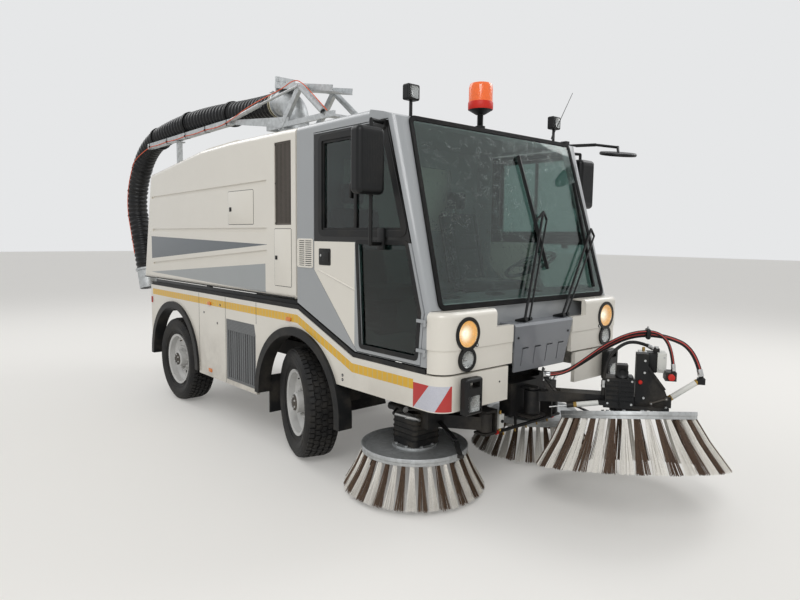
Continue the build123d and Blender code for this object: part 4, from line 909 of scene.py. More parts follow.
def splinePoints(points, perSpan):
    # the smooth line that a route's points pull
    curve = bpy.data.curves.new("route", "CURVE")
    curve.dimensions = "3D"
    spline = curve.splines.new("NURBS")
    spline.points.add(len(points) - 1)
    for point, where in zip(spline.points, points):
        point.co = (*where, 1.0)
    spline.order_u = 3
    spline.use_endpoint_u = True
    spline.resolution_u = perSpan
    holder = bpy.data.objects.new("route", curve)
    scene.collection.objects.link(holder)
    bpy.context.view_layer.update()
    mesh = bpy.data.meshes.new_from_object(holder)
    line = [vert.co.copy() for vert in mesh.vertices]
    bpy.data.meshes.remove(mesh)
    bpy.data.objects.remove(holder)
    bpy.data.curves.remove(curve)
    return line


def evenly(route, step, perSpan=24):
    # points a fixed step apart on a route's smooth line
    line = splinePoints(route, perSpan)
    lengths = [0.0]
    for a, b in zip(line, line[1:]):
        lengths.append(lengths[-1] + (b - a).length)
    count = max(2, round(lengths[-1] / step))
    places = []
    index = 0
    for i in range(count + 1):
        want = lengths[-1] * i / count
        while index < len(line) - 2 and lengths[index + 1] < want:
            index += 1
        span = lengths[index + 1] - lengths[index]
        share = (want - lengths[index]) / span if span > 0 else 0.0
        places.append(line[index].lerp(line[index + 1], share))
    return places


def addTube(bm, line, radiusAt, segments):
    # tube round a line of points; radiusAt gives each ring's radius, the frame is carried along
    part = bmesh.new()
    rings = []
    normal = (line[1] - line[0]).orthogonal()
    for i, point in enumerate(line):
        way = (line[min(i + 1, len(line) - 1)] - line[max(i - 1, 0)]).normalized()
        normal = (normal - way * normal.dot(way)).normalized()
        side = way.cross(normal)
        places = circle(segments, radiusAt(i))
        rings.append([part.verts.new(point + normal * x + side * y) for x, y in places])
    loops = [[part.edges.new(pair) for pair in zip(ring, ring[1:] + ring[:1])] for ring in rings]
    for low, high in zip(loops, loops[1:]):
        bmesh.ops.bridge_loops(part, edges=low + high)
    for ring in (rings[0], rings[-1]):
        part.faces.new(ring)
    bmesh.ops.recalc_face_normals(part, faces=part.faces)
    join(bm, part)


def makeHose():
    ribs = hose["ribs"]
    line = evenly(hose["route"], hose["pitch"] / len(ribs))
    bm = bmesh.new()
    addTube(bm, line, lambda i: hose["outer"] + ribs[i % len(ribs)], 44)
    makePiece("hose_dress", bm, ["hoseRubber"], "boom", 60.0, ["suction_hose"])


makeHose()
print("hose made")


# Doors: window frames, sliding bar, handle, moulded ridge, mirror glass and feet

door = {"face": 1.0, "upper": [(-0.352, 1.772), (-0.352, 2.422), (-1.042, 2.422), (-1.248, 1.772)],
        "lower": [(-0.775, 1.706), (-0.82, 1.012), (-1.366, 1.012), (-1.39, 1.29), (-1.267, 1.706)],
        "pane": 0.9817, "barY": -0.744, "handle": (-0.474, -0.33, 1.537, 1.656),
        "ridge": ((1.0, -0.32, 1.5), (1.0, -0.752, 1.386)), "mirror": (1.06, 1.27, 2.0, 2.405),
        "mirrorFace": -1.0405, "mirrorBack": -1.1415}


def buildDoorTrim(bm):
    face, pane, barY = door["face"], door["pane"], door["barY"]
    addFrame(bm, rounded(door["upper"], 0.03), 0.03, 0.014, 0.0045, sidePlane(face), 0, 0.0015)
    addFrame(bm, rounded(door["lower"], 0.02), 0.018, 0.012, 0.0035, sidePlane(face), 0, 0.001)
    addFrame(bm, rounded(grown(door["upper"], -0.012), 0.02), 0.0, 0.018, 0.0145, sidePlane(pane))
    addBlock(bm, (pane, barY - 0.016, 1.78), (face - 0.006, barY + 0.016, 2.415), 0.003)
    addBlock(bm, (pane, -0.7, 2.0), (face - 0.004, -0.68, 2.1), 0.003)
    y0, y1, z0, z1 = door["handle"]
    middle, keyY = (z0 + z1) / 2, y1 - 0.026
    addPanel(bm, door["handle"], 0.012, 0.0035, sidePlane(face - 0.0005), 0.001)
    grip = (y0 + 0.018, y1 - 0.05, middle - 0.034, middle + 0.034)
    addPanel(bm, grip, 0.008, 0.004, sidePlane(face + 0.003), 0.001)
    addRod(bm, (face + 0.002, keyY, middle + 0.01), (face + 0.006, keyY, middle + 0.01), 0.009, slot=2)
    addRod(bm, *door["ridge"], 0.0045, 0.0065, 14, 1)
    for x, y, z in door["ridge"]:
        addRod(bm, (x - 0.004, y, z), (x + 0.0045, y, z), 0.006, 0.004, slot=1)
    # mirror: two panes, heating wires on the back, its feet on the door
    x0, x1, low, high = door["mirror"]
    glass = outwards(0, door["mirrorFace"], 0) @ Matrix.Scale(-1, 4, (0, 0, 1))
    for bottom, top in ((low + 0.13, high - 0.022), (low + 0.022, low + 0.12)):
        addPanel(bm, (x0 + 0.02, x1 - 0.02, bottom, top), 0.02, 0.002, glass, 0, 3)
    back = door["mirrorBack"]
    for x in steps(x0 + 0.03, (x1 - x0 - 0.06) / 12, 13):
        addRod(bm, (x, back, low + 0.05), (x, back, high - 0.05), 0.0016, segments=6)
    addBlock(bm, (1.0005, -1.072, 1.66), (1.02, -1.008, 1.80), 0.006)
    addBlock(bm, (1.0005, -1.062, 2.41), (1.014, -1.018, 2.476), 0.005)


bothSides("door_trim", buildDoorTrim, ["moulding", "whitePaint", "steel", "mirrorGlass"], "cab_door_{}")
print("door trim made")


# Cab: screen seal, louvres, rubber band over the skirts, aerial, dash vents

cab = {"screenFoot": (-1.470, 1.313), "screenHead": (-1.127, 2.494), "halfLow": 0.905, "halfHigh": 0.862,
       "louvre": (-0.255, -0.043, 1.509, 1.724), "vents": (-0.66, -0.22, 0.22, 0.66),
       "ventPlace": (-1.316, 1.3605), "ventLean": 11.7,
       # aerial: foot, top of the foot, start and end of the rod
       "aerial": ((0.7, -1.1, 2.53), (0.7, -1.1, 2.556), (0.7, -1.1, 2.55), (0.7, -1.27, 2.86)),
       "band": [(2.97, 1.181), (-0.033, 1.181), (-0.727, 0.917), (-1.44, 0.917),
                (-1.44, 0.953), (-0.735, 0.953), (-0.041, 1.218), (2.97, 1.218)]}


def buildLouvre(bm):
    y0, y1, z0, z1 = cab["louvre"]
    outline = rounded(rectangle(*cab["louvre"]), 0.022)
    addPlate(bm, outline, 0.0015, sidePlane(0.9995))
    addFrame(bm, outline, 0.0, 0.014, 0.0035, sidePlane(1.0008), 1, 0.001)
    for z in steps(z0 + 0.024, (z1 - z0 - 0.048) / 11, 12):
        addBlock(bm, (1.0008, y0 + 0.012, z - 0.0045), (1.0034, y1 - 0.012, z + 0.0045), 0.001, 1, 1)
    for y in (y0 + 0.012, (y0 + y1) / 2, y1 - 0.024):
        addBlock(bm, (1.0008, y - 0.004, z0 + 0.01), (1.0036, y + 0.008, z1 - 0.01), 0.001, 1, 1)


def makeCabTrim():
    bm = bmesh.new()
    foot, head, low, high = (cab[k] for k in ("screenFoot", "screenHead", "halfLow", "halfHigh"))
    length = math.dist(foot, head)
    outline = [(-low, 0), (low, 0), (high, length), (-high, length)]
    screen = slopePlane(foot, head) @ Matrix.Translation((0, 0, 0.0005))
    addFrame(bm, rounded(outline, 0.045, 6), 0.012, 0.022, 0.0125, screen, 2, 0.003)
    buildLouvre(bm)
    addPlate(bm, cab["band"], 0.018, sidePlane(0.974), 0, 2)
    mirrorInto(bm)
    addRod(bm, *cab["aerial"][:2], 0.014, 0.008)
    addRod(bm, *cab["aerial"][2:], 0.0032, 0.0018, 8)
    lean = Matrix.Rotation(math.radians(cab["ventLean"]), 4, "X")
    for x in cab["vents"]:
        vent = Matrix.Translation((x, *cab["ventPlace"])) @ lean
        addPlate(bm, rounded(rectangle(-0.085, 0.085, -0.032, 0.032), 0.03, 6), 0.004, vent)
        for middle in steps(-0.06, 0.02, 7):
            addPlate(bm, rectangle(middle - 0.003, middle + 0.003, -0.026, 0.026), 0.007, vent)
    makePiece("cab_trim", bm, ["blackPlastic", "whitePaint", "rubber"], "truck")


makeCabTrim()
print("cab trim made")


# Lamps

lamp = {"x": 0.778, "face": -1.59, "tailX": (0.87, 0.94),
        # head lamps: height, radius, slot of the bowl
        "heads": ((1.166, 0.0815, 1), (1.01, 0.0525, 2)),
        # square lamps: x, z, half width, half height, where glass and reflector begin and end, edge
        "squares": ((0.786, 0.752, 0.0553, 0.0493, (-1.6594, -1.6462, -1.6455, -1.6426), 0.004),
                    (0.78, 2.668, 0.0405, 0.0385, (-1.0812, -1.0785, -1.078, -1.0756), 0.001)),
        # tail lamp's fields: low, high, slot
        "tail": ((0.766, 0.862, 3), (0.866, 0.954, 4), (0.958, 1.054, 3))}


def makeLamps():
    bm = bmesh.new()
    for height, r, bowl in lamp["heads"]:
        front = outwards(lamp["x"], lamp["face"], height)
        addLathe(bm, [(0.0, 0.0025), (r * 0.6, 0.0018), (r, 0.0), (r, -0.002), (r * 0.6, -0.0004),
                      (0.0, 0.0004)], front, 40)
        addLathe(bm, [(0.0, -0.026), (r * 0.35, -0.0245), (r * 0.7, -0.018), (r * 0.93, -0.006),
                      (r * 0.985, -0.0035), (r * 0.985, -0.0275), (0.0, -0.0295)], front, 40, bowl)
        addLathe(bm, [(0.0, -0.012), (0.012, -0.013), (0.016, -0.024), (0.0, -0.0255)], front, 16, bowl)
        addLathe(bm, [(r, -0.006), (r + 0.0005, 0.002), (r + 0.004, 0.003), (r + 0.007, 0.001),
                      (r + 0.008, -0.006), (r, -0.006)], front, 48, 6)
    x = lamp["x"] - 0.085
    addRod(bm, (x, -1.58, 1.091), (x, -1.5885, 1.091), 0.014, 0.012, slot=5)
    addRod(bm, (x, -1.588, 1.091), (x, -1.5895, 1.091), 0.007, slot=2)
    for x, z, across, up, (y0, y1, y2, y3), edge in lamp["squares"]:
        addBlock(bm, (x - across, y0, z - up), (x + across, y1, z + up), edge)
        addBlock(bm, (x - across, y2, z - up), (x + across, y3, z + up), slot=2)
    x0, x1 = lamp["tailX"]
    addBlock(bm, (x0 + 0.012, 2.942, 0.782), (0.969, 3.0, 1.038), 0.004, slot=5)
    addBlock(bm, (x0, 3.0, 0.76), (x1, 3.012, 1.06), 0.003, slot=5)
    for low, high, slot in lamp["tail"]:
        addBlock(bm, (x0 + 0.004, 3.0105, low), (x1 - 0.004, 3.0298, high), 0.007, 3, slot)
    for z in steps(0.712, 0.02, 5):
        addBlock(bm, (0.736, -1.6606, z - 0.0012), (0.836, -1.6592, z + 0.0012))
    addRod(bm, (0.283, -1.576, 1.092), (0.283, -1.587, 1.092), 0.009, 0.00846, 6, 5)
    addRod(bm, (0.468, -1.584, 0.83), (0.468, -1.5885, 0.83), 0.006, 0.00564, 6, 5)
    mirrorInto(bm)
    makePiece("lamp_dress", bm, ["lensGlass", "lampWarm", "lampBowl", "redLens", "amberLens", "blackPlastic",
                                 "steel"], "truck", replaces=["lamp_lenses"])


makeLamps()
print("lamps made")


# Beacon

beacon = {"place": (0, -0.954), "foot": 2.535, "cup": 2.645, "band": 2.678, "dome": 2.734, "top": 2.869}


def makeBeacon():
    bm = bmesh.new()
    at = Matrix.Translation((*beacon["place"], 0))
    foot, cup, band, dome, top = (beacon[k] for k in ("foot", "cup", "band", "dome", "top"))
    stem = [(0.0, foot), (0.038, foot), (0.038, 2.5605), (0.026, 2.563)]
    for z in steps(2.566, 0.0085, 9):
        stem += [(0.0235, z), (0.0205, z + 0.0042)]
    stem += [(0.024, cup), (0.034, cup), (0.088, band), (0.0, band)]
    addLathe(bm, stem, at, 40)
    addLathe(bm, [(0.0, band), (0.09, band), (0.092, band + 0.004), (0.092, dome - 0.008), (0.0885, dome),
                  (0.0, dome)], at, 48, 1)
    addLathe(bm, [(0.0, dome), (0.086, dome), (0.086, top - 0.03), (0.0835, top - 0.014),
                  (0.076, top - 0.004), (0.064, top), (0.0, top)], at, 48, 2)
    for x, y in circle(24, 0.0852):
        y += beacon["place"][1]
        addRod(bm, (x, y, dome + 0.002), (x, y, top - 0.034), 0.0018, segments=6, slot=2)
    makePiece("beacon_dress", bm, ["blackPlastic", "redPlastic", "domeOrange"], "truck",
              replaces=["beacon"])


makeBeacon()


# Hopper: hatch, service door, latches, rivets, the strip along the lower edge

hopper = {"panels": ((0.63, 1.08, 1.836, 2.118), (0.045, 0.29, 1.35, 1.795)),
          # latches: y, z, half size
          "latches": ((1.035, 1.965, 0.019), (0.262, 1.57, 0.016)), "rivetY": (0.05, 0.285),
          "rivetZ": (1.84, 2.15, 2.448)}


def buildHopperTrim(bm):
    for panel in hopper["panels"]:
        outline = rounded(rectangle(*panel), 0.012)
        addFrame(bm, outline, 0.004, 0.0, 0.0009, sidePlane(0.9998), 1)
        addPlate(bm, outline, 0.003, sidePlane(0.9998), 0.0012)
    for y, z, half in hopper["latches"]:
        addPanel(bm, (y - half, y + half, z - half, z + half), half * 0.3, 0.004, sidePlane(1.0025), 0.001, 1)
        addBlock(bm, (1.0055, y - half / 2, z - half / 4), (1.0105, y + half / 2, z + half / 4), 0.001, 1, 1)
    for y in hopper["rivetY"]:
        for z in hopper["rivetZ"]:
            addRod(bm, (0.9905, y, z), (0.9945, y, z), 0.006, slot=1)
    addBlock(bm, (0.9985, 0.0, 1.262), (1.0035, 3.16, 1.272), 0.0015, slot=2)


bothSides("hopper_trim", buildHopperTrim, ["whitePaint", "blackPlastic", "rubber"], "hopper")


# Skirts: latches, seams, marker lamps, a strip that closes the gap under the hopper

skirt = {"latches": ((1.274, 1.101), (1.619, 1.003), (1.337, 0.927), (-0.618, 0.777), (-0.618, 0.745)),
         # seams between the panels: y, lower end
         "seams": ((0.604, 1.0), (1.17, 0.4), (1.73, 0.5)), "seamTop": 1.183,
         # marker lamps: span, corner, how far out, edge, slot
         "markers": (((0.05, 0.116, 1.083, 1.113), 0.012, 0.012, 0.003, 2),
                     ((1.46, 1.526, 1.083, 1.113), 0.012, 0.012, 0.003, 2),
                     ((2.935, 2.968, 0.985, 1.055), 0.01, 0.009, 0.003, 4),
                     ((1.46, 1.53, 0.44, 0.475), 0.008, 0.007, 0.002, 2)),
         "seal": ((0.958, 0.0, 1.1), (0.9697, 2.9, 1.248))}


def buildSkirtTrim(bm):
    for y, z in skirt["latches"]:
        addRod(bm, (0.9995, y, z), (1.003, y, z), 0.011, 0.0095, slot=1)
        addRod(bm, (1.0025, y, z), (1.0045, y, z), 0.005, slot=3)
    for y, low in skirt["seams"]:
        addBlock(bm, (0.9992, y - 0.0022, low), (1.0006, y + 0.0022, skirt["seamTop"]), slot=1)
    for span, corner, out, edge, slot in skirt["markers"]:
        addPanel(bm, span, corner, out, sidePlane(1.0), edge, slot)
    addBlock(bm, *skirt["seal"], 0.003, slot=1)


bothSides("skirt_trim", buildSkirtTrim, ["whitePaint", "blackPlastic", "amberLens", "steel", "redLens"],
          "truck")
print("body trim made")


# Rear door: blank plate, grab bars, latches, seal

rearDoor = {"low": 0.04, "half": 0.61, "foot": (3.19, 1.255), "head": (2.93, 2.388), "thick": 0.047,
            "latchX": (-0.53, 0.53), "latchY": (0.12, 0.86), "barX": (-0.2, 0.2),
            # grab bar: up the door, out of it
            "bar": ((0.5, -0.0007), (0.5, 0.0223), (0.7, 0.0223), (0.7, -0.0007))}


def makeRearDoorTrim():
    bm = bmesh.new()
    foot, head, half, low = (rearDoor[k] for k in ("foot", "head", "half", "low"))
    plane = slopePlane(foot, head, 1)
    face = rearDoor["thick"] - 0.0003
    edge = rectangle(-half + 0.012, half - 0.012, low + 0.012, math.dist(foot, head) - 0.0695)
    skin = plane @ Matrix.Translation((0, 0, face))
    addFrame(bm, rounded(edge, 0.02), 0.0, 0.016, 0.006, skin, 1, 0.002)
    addPanel(bm, (0.05, 0.35, 0.16, 0.27), 0.008, 0.003, skin, 0.001, 2)
    for x in rearDoor["latchX"]:
        for y in rearDoor["latchY"]:
            at = skin @ Matrix.Translation((x, y, 0))
            addPanel(bm, (-0.03, 0.03, -0.045, 0.045), 0.01, 0.006, at, 0.0015, 3)
            addPanel(bm, (-0.011, 0.011, -0.07, 0.03), 0.006, 0.016, at, 0.002, 3)
    for x in rearDoor["barX"]:
        bar = [skin @ Vector((x, y, z)) for y, z in rearDoor["bar"]]
        for a, b in zip(bar, bar[1:]):
            addRod(bm, a, b, 0.007, segments=12, slot=3)
        for place in bar[1:3]:
            knee = Vector((0, 0, 0.001))
            addRod(bm, place - knee, place + knee, 0.007, segments=12, slot=3)
    makePiece("rear_door_trim", bm, ["whitePaint", "rubber", "silverPaint", "zinc"], "hopper_door")


makeRearDoorTrim()
print("rear door trim made")


# Boom: hose clamp and bolts

boom = {"x": -0.5, "clampY": (1.0125, 1.05), "hoseZ": 2.93}


def makeBoomTrim():
    bm = bmesh.new()
    across, hoseZ = boom["x"], boom["hoseZ"]
    along = Matrix.Translation((across, 0, hoseZ)) @ Matrix.Rotation(-math.pi / 2, 4, "X")
    y0, y1 = boom["clampY"]
    addLathe(bm, [(0.1145, y0), (0.1205, y0 + 0.001), (0.1205, y1 - 0.001), (0.1145, y1), (0.1145, y0)],
             along, 64)
    addLathe(bm, [(0.1195, y0 + 0.01), (0.1222, y0 + 0.012), (0.1222, y1 - 0.012), (0.1195, y1 - 0.01),
                  (0.1195, y0 + 0.01)], along, 64, 1)
    # the clamp's screw
    angle, middle = math.radians(128), (y0 + y1) / 2
    x, z = across + 0.124 * math.cos(angle), hoseZ + 0.124 * math.sin(angle)
    addBlock(bm, (x - 0.012, y0 + 0.004, z - 0.012), (x + 0.012, y1 - 0.004, z + 0.012), 0.002, slot=2)
    addRod(bm, (x - 0.028, middle, z - 0.004), (x + 0.03, middle, z + 0.01), 0.004, slot=2)
    # bolts of the elbow's lugs, the base and the turning ring
    lugs = [(across + dx, z) for dx in (-0.07, 0.0, 0.07) for z in (3.055, 3.118)]
    addHexes(bm, [(x, 0.9285, z) for x, z in lugs], (0, -0.011, 0), 0.011, 2)
    addHexes(bm, [(x, 0.9435, z) for x, z in lugs], (0, 0.0115, 0), 0.011, 2)
    base = [(across + dx, y, 2.709) for dx in (-0.172, 0.172) for y in (0.0, 0.34, 0.62, 0.92)]
    addHexes(bm, base, (0, 0, 0.0065), 0.009, 2)
    ring = [(across + x, 0.75 + y, 2.6645) for x, y in circle(12, 0.145, 0.5)]
    addHexes(bm, ring, (0, 0, 0.0105), 0.0095, 2)
    makePiece("boom_trim", bm, ["tieBeige", "blackPlastic", "steel"], "boom")


makeBoomTrim()


# Front arm: its own frame is turned, local -Y runs along the arm

arm = {"turn": math.atan2(0.352, 0.526), "place": (0, -1.5, 0)}
armPlace = Matrix.Translation(arm["place"]) @ Matrix.Rotation(arm["turn"], 4, "Z")

# outside diameter, real length, route
armHoses = (
    (0.030, 1.2, ((0.04, -0.072, 0.8), (0.04, -0.19, 0.8), (0.032, -0.335, 0.9), (0.026, -0.48, 1.015),
                  (0.022, -0.65, 1.108), (0.018, -0.85, 1.114), (-0.005, -1.035, 1.035),
                  (-0.02, -1.075, 0.862))),
    (0.022, 1.08, ((-0.005, -0.072, 0.8), (-0.005, -0.19, 0.8), (-0.012, -0.335, 0.918),
                   (-0.016, -0.48, 1.042), (-0.022, -0.64, 1.13), (-0.03, -0.8, 1.147),
                   (-0.035, -0.89, 1.045), (-0.035, -0.905, 0.89))),
    (0.022, 0.56, ((-0.1, -0.466, 0.765), (-0.1, -0.466, 0.9), (-0.08, -0.535, 1.03), (-0.02, -0.66, 1.083),
                   (0.05, -0.78, 1.02))),
)


def makeArmHoses():
    for number, (diameter, length, route) in enumerate(armHoses, 1):
        points = [armPlace @ Vector(p) for p in route]
        line = evenly(points, 0.006)
        measured = sum((b - a).length for a, b in zip(line, line[1:]))
        print("hose", number, "length", round(measured, 4))
        bm = bmesh.new()
        addTube(bm, line, lambda i: diameter / 2, 24)
        # coloured lines that run along the hose
        for index, face in enumerate(bm.faces):
            if len(face.verts) == 4 and index % 24 in (3, 4):
                face.material_index = 1
        piece = makePiece("arm_hose_" + str(number), bm, ["rubber", "hoseStripe"], "brush_arm_front",
                          60.0, ["hydraulic_hose_" + str(number)])
        shifted(points[0])
        [shifted(p) for p in line]


makeArmHoses()
print("arm hoses made")


def ferrule(bm, point, way, radius):
    # crimped sleeve with its nut where a hose meets the arm
    point, way = Vector(point), Vector(way).normalized()
    addHexes(bm, [point - way * 0.001], way * 0.015, radius + 0.0045, 3)
    addRod(bm, point + way * 0.013, point + way * 0.046, radius + 0.003, slot=3, edge=0.0015)
    for along in steps(0.02, 0.009, 3):
        addRod(bm, point + way * along, point + way * (along + 0.003), radius + 0.0038, slot=3)


armTrim = {
    # slots 0 to 5
    "finishes": ["blackPlastic", "whitePlastic", "redPlastic", "steel", "brass", "castIron"],
    # slot, low corner, high corner, edge
    "blocks": (
        # strap and top plate of the coil box
        (0, (-0.116, -0.575, 0.645), (-0.112, -0.563, 0.826), 0.001),
        (0, (-0.104, -0.654, 0.8295), (0.014, -0.625, 0.838), 0.002),
        # valve: silver body, black coil, white head
        (3, (0.013, -0.748, 0.862), (0.127, -0.695, 0.992), 0.003),
        (0, (0.008, -0.809, 0.858), (0.132, -0.749, 0.985), 0.006),
        (1, (0.0125, -0.8685, 0.86), (0.1275, -0.81, 0.993), 0.004),
    ),
    # slot, start, end, radii, edge
    "rods": (
        # white cylinders and the piston rod of one
        (1, (-0.02, -0.905, 0.7088), (-0.02, -1.048, 0.8165), (0.0188, 0.0188), 0.002),
        (1, (-0.092, -0.3, 0.6289), (-0.092, -0.44, 0.6525), (0.0178, 0.0178), 0.002),
        (3, (-0.092, -0.12, 0.5986), (-0.092, -0.24, 0.6188), (0.0045, 0.0045), 0),
        # red caps
        (2, (-0.0595, -0.7, 0.805), (-0.08, -0.7, 0.805), (0.0145, 0.012), 0.002),
        (2, (-0.0495, -0.89, 0.849), (-0.079, -0.89, 0.849), (0.0215, 0.0215), 0.003),
        # grey lever with its eyes and pins
        (5, (-0.052, -0.775, 0.663), (-0.052, -0.868, 0.7), (0.0065, 0.0065), 0),
        (5, (-0.0595, -0.775, 0.663), (-0.0455, -0.775, 0.663), (0.012, 0.012), 0),
        (5, (-0.0595, -0.868, 0.7), (-0.0455, -0.868, 0.7), (0.012, 0.012), 0),
        (3, (-0.062, -0.775, 0.663), (-0.0455, -0.775, 0.663), (0.005, 0.005), 0),
        (3, (-0.062, -0.868, 0.7), (-0.0455, -0.868, 0.7), (0.005, 0.005), 0),
    ),
    # six-sided heads: slot, radius, the way they stand, places
    "heads": (
        # ends of the white cylinders
        (4, 0.0205, (0, -0.018, 0.0136), [(-0.02, -0.888, 0.696)]),
        (4, 0.0205, (0, -0.011, 0.0083), [(-0.02, -1.047, 0.8157)]),
        (4, 0.0185, (0, -0.021, 0.0035), [(-0.092, -0.28, 0.6256)]),
        # screws of the coil box and of the valve, and the valve's ports
        (3, 0.0075, (-0.009, 0, 0), [(-0.1095, y, z) for y in (-0.495, -0.645) for z in (0.66, 0.815)]),
        (3, 0.007, (-0.0075, 0, 0), [(0.0135, -0.71, 0.885), (0.0135, -0.735, 0.965), (0.0135, -0.826, 0.885),
                                     (0.0135, -0.853, 0.965)]),
        (4, 0.014, (-0.0195, 0, 0), [(0.0135, -0.722, 0.925)]),
        (3, 0.014, (0, 0, 0.0145), [(0.065, -0.807, 1.0155)]),
        (4, 0.01, (0, 0, 0.0235), [(0.1, -0.73, 0.9915)]),
        # bolts on the post, the coupling plate and the base, and the hose clamp's screw
        (3, 0.008, (-0.009, 0, 0), [(-0.0595, -0.725, z) for z in (0.7, 0.87, 0.95)]),
        (3, 0.008, (0, -0.0082, 0), [(x, -0.0718, z) for x in (-0.055, 0.065) for z in (0.775, 0.825)]),
        (3, 0.0095, (0, 0, 0.009), [(x, y, 0.6495) for x in (-0.095, 0.095) for y in (-0.49, -0.86)]),
        (3, 0.006, (0, 0, 0.0145), [(-0.002, -0.74, 1.1575)]),
    ),
    # flared horn on the small box: (radius, height)
    "horn": ((0.0, -0.001), (0.017, -0.001), (0.018, 0.012), (0.024, 0.022), (0.037, 0.03), (0.038, 0.032),
             (0.032, 0.031), (0.016, 0.018), (0.0, 0.016)),
}


def makeArmTrim():
    bm = bmesh.new()
    for diameter, _, route in armHoses:
        for end, inner in ((route[0], route[1]), (route[-1], route[-2])):
            ferrule(bm, end, Vector(inner) - Vector(end), diameter / 2)
    for slot, low, high, edge in armTrim["blocks"]:
        addBlock(bm, low, high, edge, slot=slot)
    for slot, start, end, radii, edge in armTrim["rods"]:
        addRod(bm, start, end, *radii, slot=slot, edge=edge)
    for slot, radius, way, places in armTrim["heads"]:
        addHexes(bm, places, way, radius, slot)
    # ribs of the coil box
    for z in steps(0.675, 0.032, 5):
        addBlock(bm, (-0.1135, -0.655, z), (-0.1095, -0.485, z + 0.016), 0.0015)
    horn = Matrix.Translation((-0.0795, -0.583, 0.87)) @ Matrix.Rotation(-math.pi / 2, 4, "Y")
    addLathe(bm, armTrim["horn"], horn, 28)
    # clamp that holds the two hoses at the top of their arch
    addBlock(bm, (-0.046, -0.755, 1.088), (0.042, -0.725, 1.158), 0.012, 3)
    makePiece("arm_trim", moved(bm, armPlace), armTrim["finishes"], "brush_arm_front")


makeArmTrim()


# Spray bar and water valve under the front

spray = {"y": -1.36, "z": 0.388, "span": (-0.2, 0.44), "radius": 0.0125,
         # hangers: x, top
         "hangers": ((0.35, 0.4205), (0.0, 0.5005)), "jets": (-0.14, 0.13, 5)}


def makeSprayBar():
    bm = bmesh.new()
    y, z, radius = spray["y"], spray["z"], spray["radius"]
    start, end = spray["span"]
    addRod(bm, (start, y, z), (end, y, z), radius)
    for x, way in ((start, -1), (end, 1)):
        addRod(bm, (x - way * 0.004, y, z), (x + way * 0.018, y, z), radius + 0.004, slot=2, edge=0.002)
    for x, top in spray["hangers"]:
        addBlock(bm, (x - 0.012, y - 0.003, z), (x + 0.012, y + 0.003, top))
    addHexes(bm, [(x, y - 0.002, z - 0.008) for x in steps(*spray["jets"])], (0, -0.006, -0.022), 0.006, 4)
    # valve with its bracket, pipe ends and knob
    addBlock(bm, (-0.25, -1.418, 0.434), (-0.2, -1.382, 0.533), 0.004, slot=1)
    addBlock(bm, (-0.201, -1.41, 0.502), (-0.1495, -1.39, 0.51), 0.001, slot=3)
    addHexes(bm, [(-0.225, -1.4, 0.5325)], (0, 0, 0.0235), 0.0095, 4)
    addHexes(bm, [(-0.225, -1.4, 0.4345)], (0, 0, -0.0225), 0.0095, 4)
    addRod(bm, (-0.225, -1.4175, 0.484), (-0.225, -1.427, 0.484), 0.011)
    makePiece("spray_bar", bm, ["blackPlastic", "whitePlastic", "redPlastic", "steel", "brass"], "truck")


makeSprayBar()


# Side brush arms: motor ribs, caps, ram

# ram and bolts are measured from the middle of the side brush
sideArm = {"boots": ((0.56, -1.155), (0.655, -1.07)), "ram": ((0.06, -0.12, 0.52), (0.25, -0.06, 0.59)),
           "bolts": ((-0.09, -0.17), (0.02, -0.17), (-0.09, -0.09))}


def buildSideArmTrim(bm):
    x, y, _ = sideBrush["place"]
    for z in steps(0.37, 0.036, 5):
        rib = (x - 0.134, x + 0.114, y - 0.124, y + 0.114)
        addPanel(bm, rib, 0.034, 0.008, Matrix.Translation((0, 0, z)))
    for px, py in sideArm["boots"]:
        addRod(bm, (px, py, 0.592), (px, py, 0.613), 0.021, 0.017, slot=1, edge=0.002)
    start, end = (Vector((x, y, 0)) + Vector(p) for p in sideArm["ram"])
    addRod(bm, start.lerp(end, 0.02), start.lerp(end, 0.55), 0.0165, slot=2, edge=0.002)
    addRod(bm, start.lerp(end, 0.55), start.lerp(end, 0.97), 0.0118, slot=2)
    for near, far in ((-0.066, -0.072), (0.084, 0.092)):
        addRod(bm, (x + 0.15, y + near, 0.596), (x + 0.15, y + far, 0.596), 0.022, slot=2)
    addHexes(bm, [(x + px, y + py, 0.5995) for px, py in sideArm["bolts"]], (0, 0, 0.0075), 0.008, 2)


bothSides("side_arm_trim", buildSideArmTrim, ["blackPlastic", "redPlastic", "steel"], "brush_arm_{}")
print("arm trim made")


# Cable tied along the boom's beam and down the hose

cable = {"radius": 0.0038, "beamStart": (-0.69, 1.6, 2.823), "beamEnd": (-0.881, 3.223, 2.724), "half": 0.028,
         "lead": [(-0.664, 0.05, 2.724), (-0.69, 0.16, 2.83), (-0.724, 0.34, 2.992), (-0.728, 0.46, 3.008),
                  (-0.722, 0.62, 2.972), (-0.722, 0.9, 2.945), (-0.722, 1.2, 2.91)],
         "spans": 8, "sag": 0.012, "below": 0.008, "hoseFrom": 2.62, "hoseTo": 1.5,
         # band round the hose: (out of the hose, along it)
         "band": ((-0.001, -0.004), (0.0025, -0.004), (0.0025, 0.004), (-0.001, 0.004), (-0.001, -0.004))}


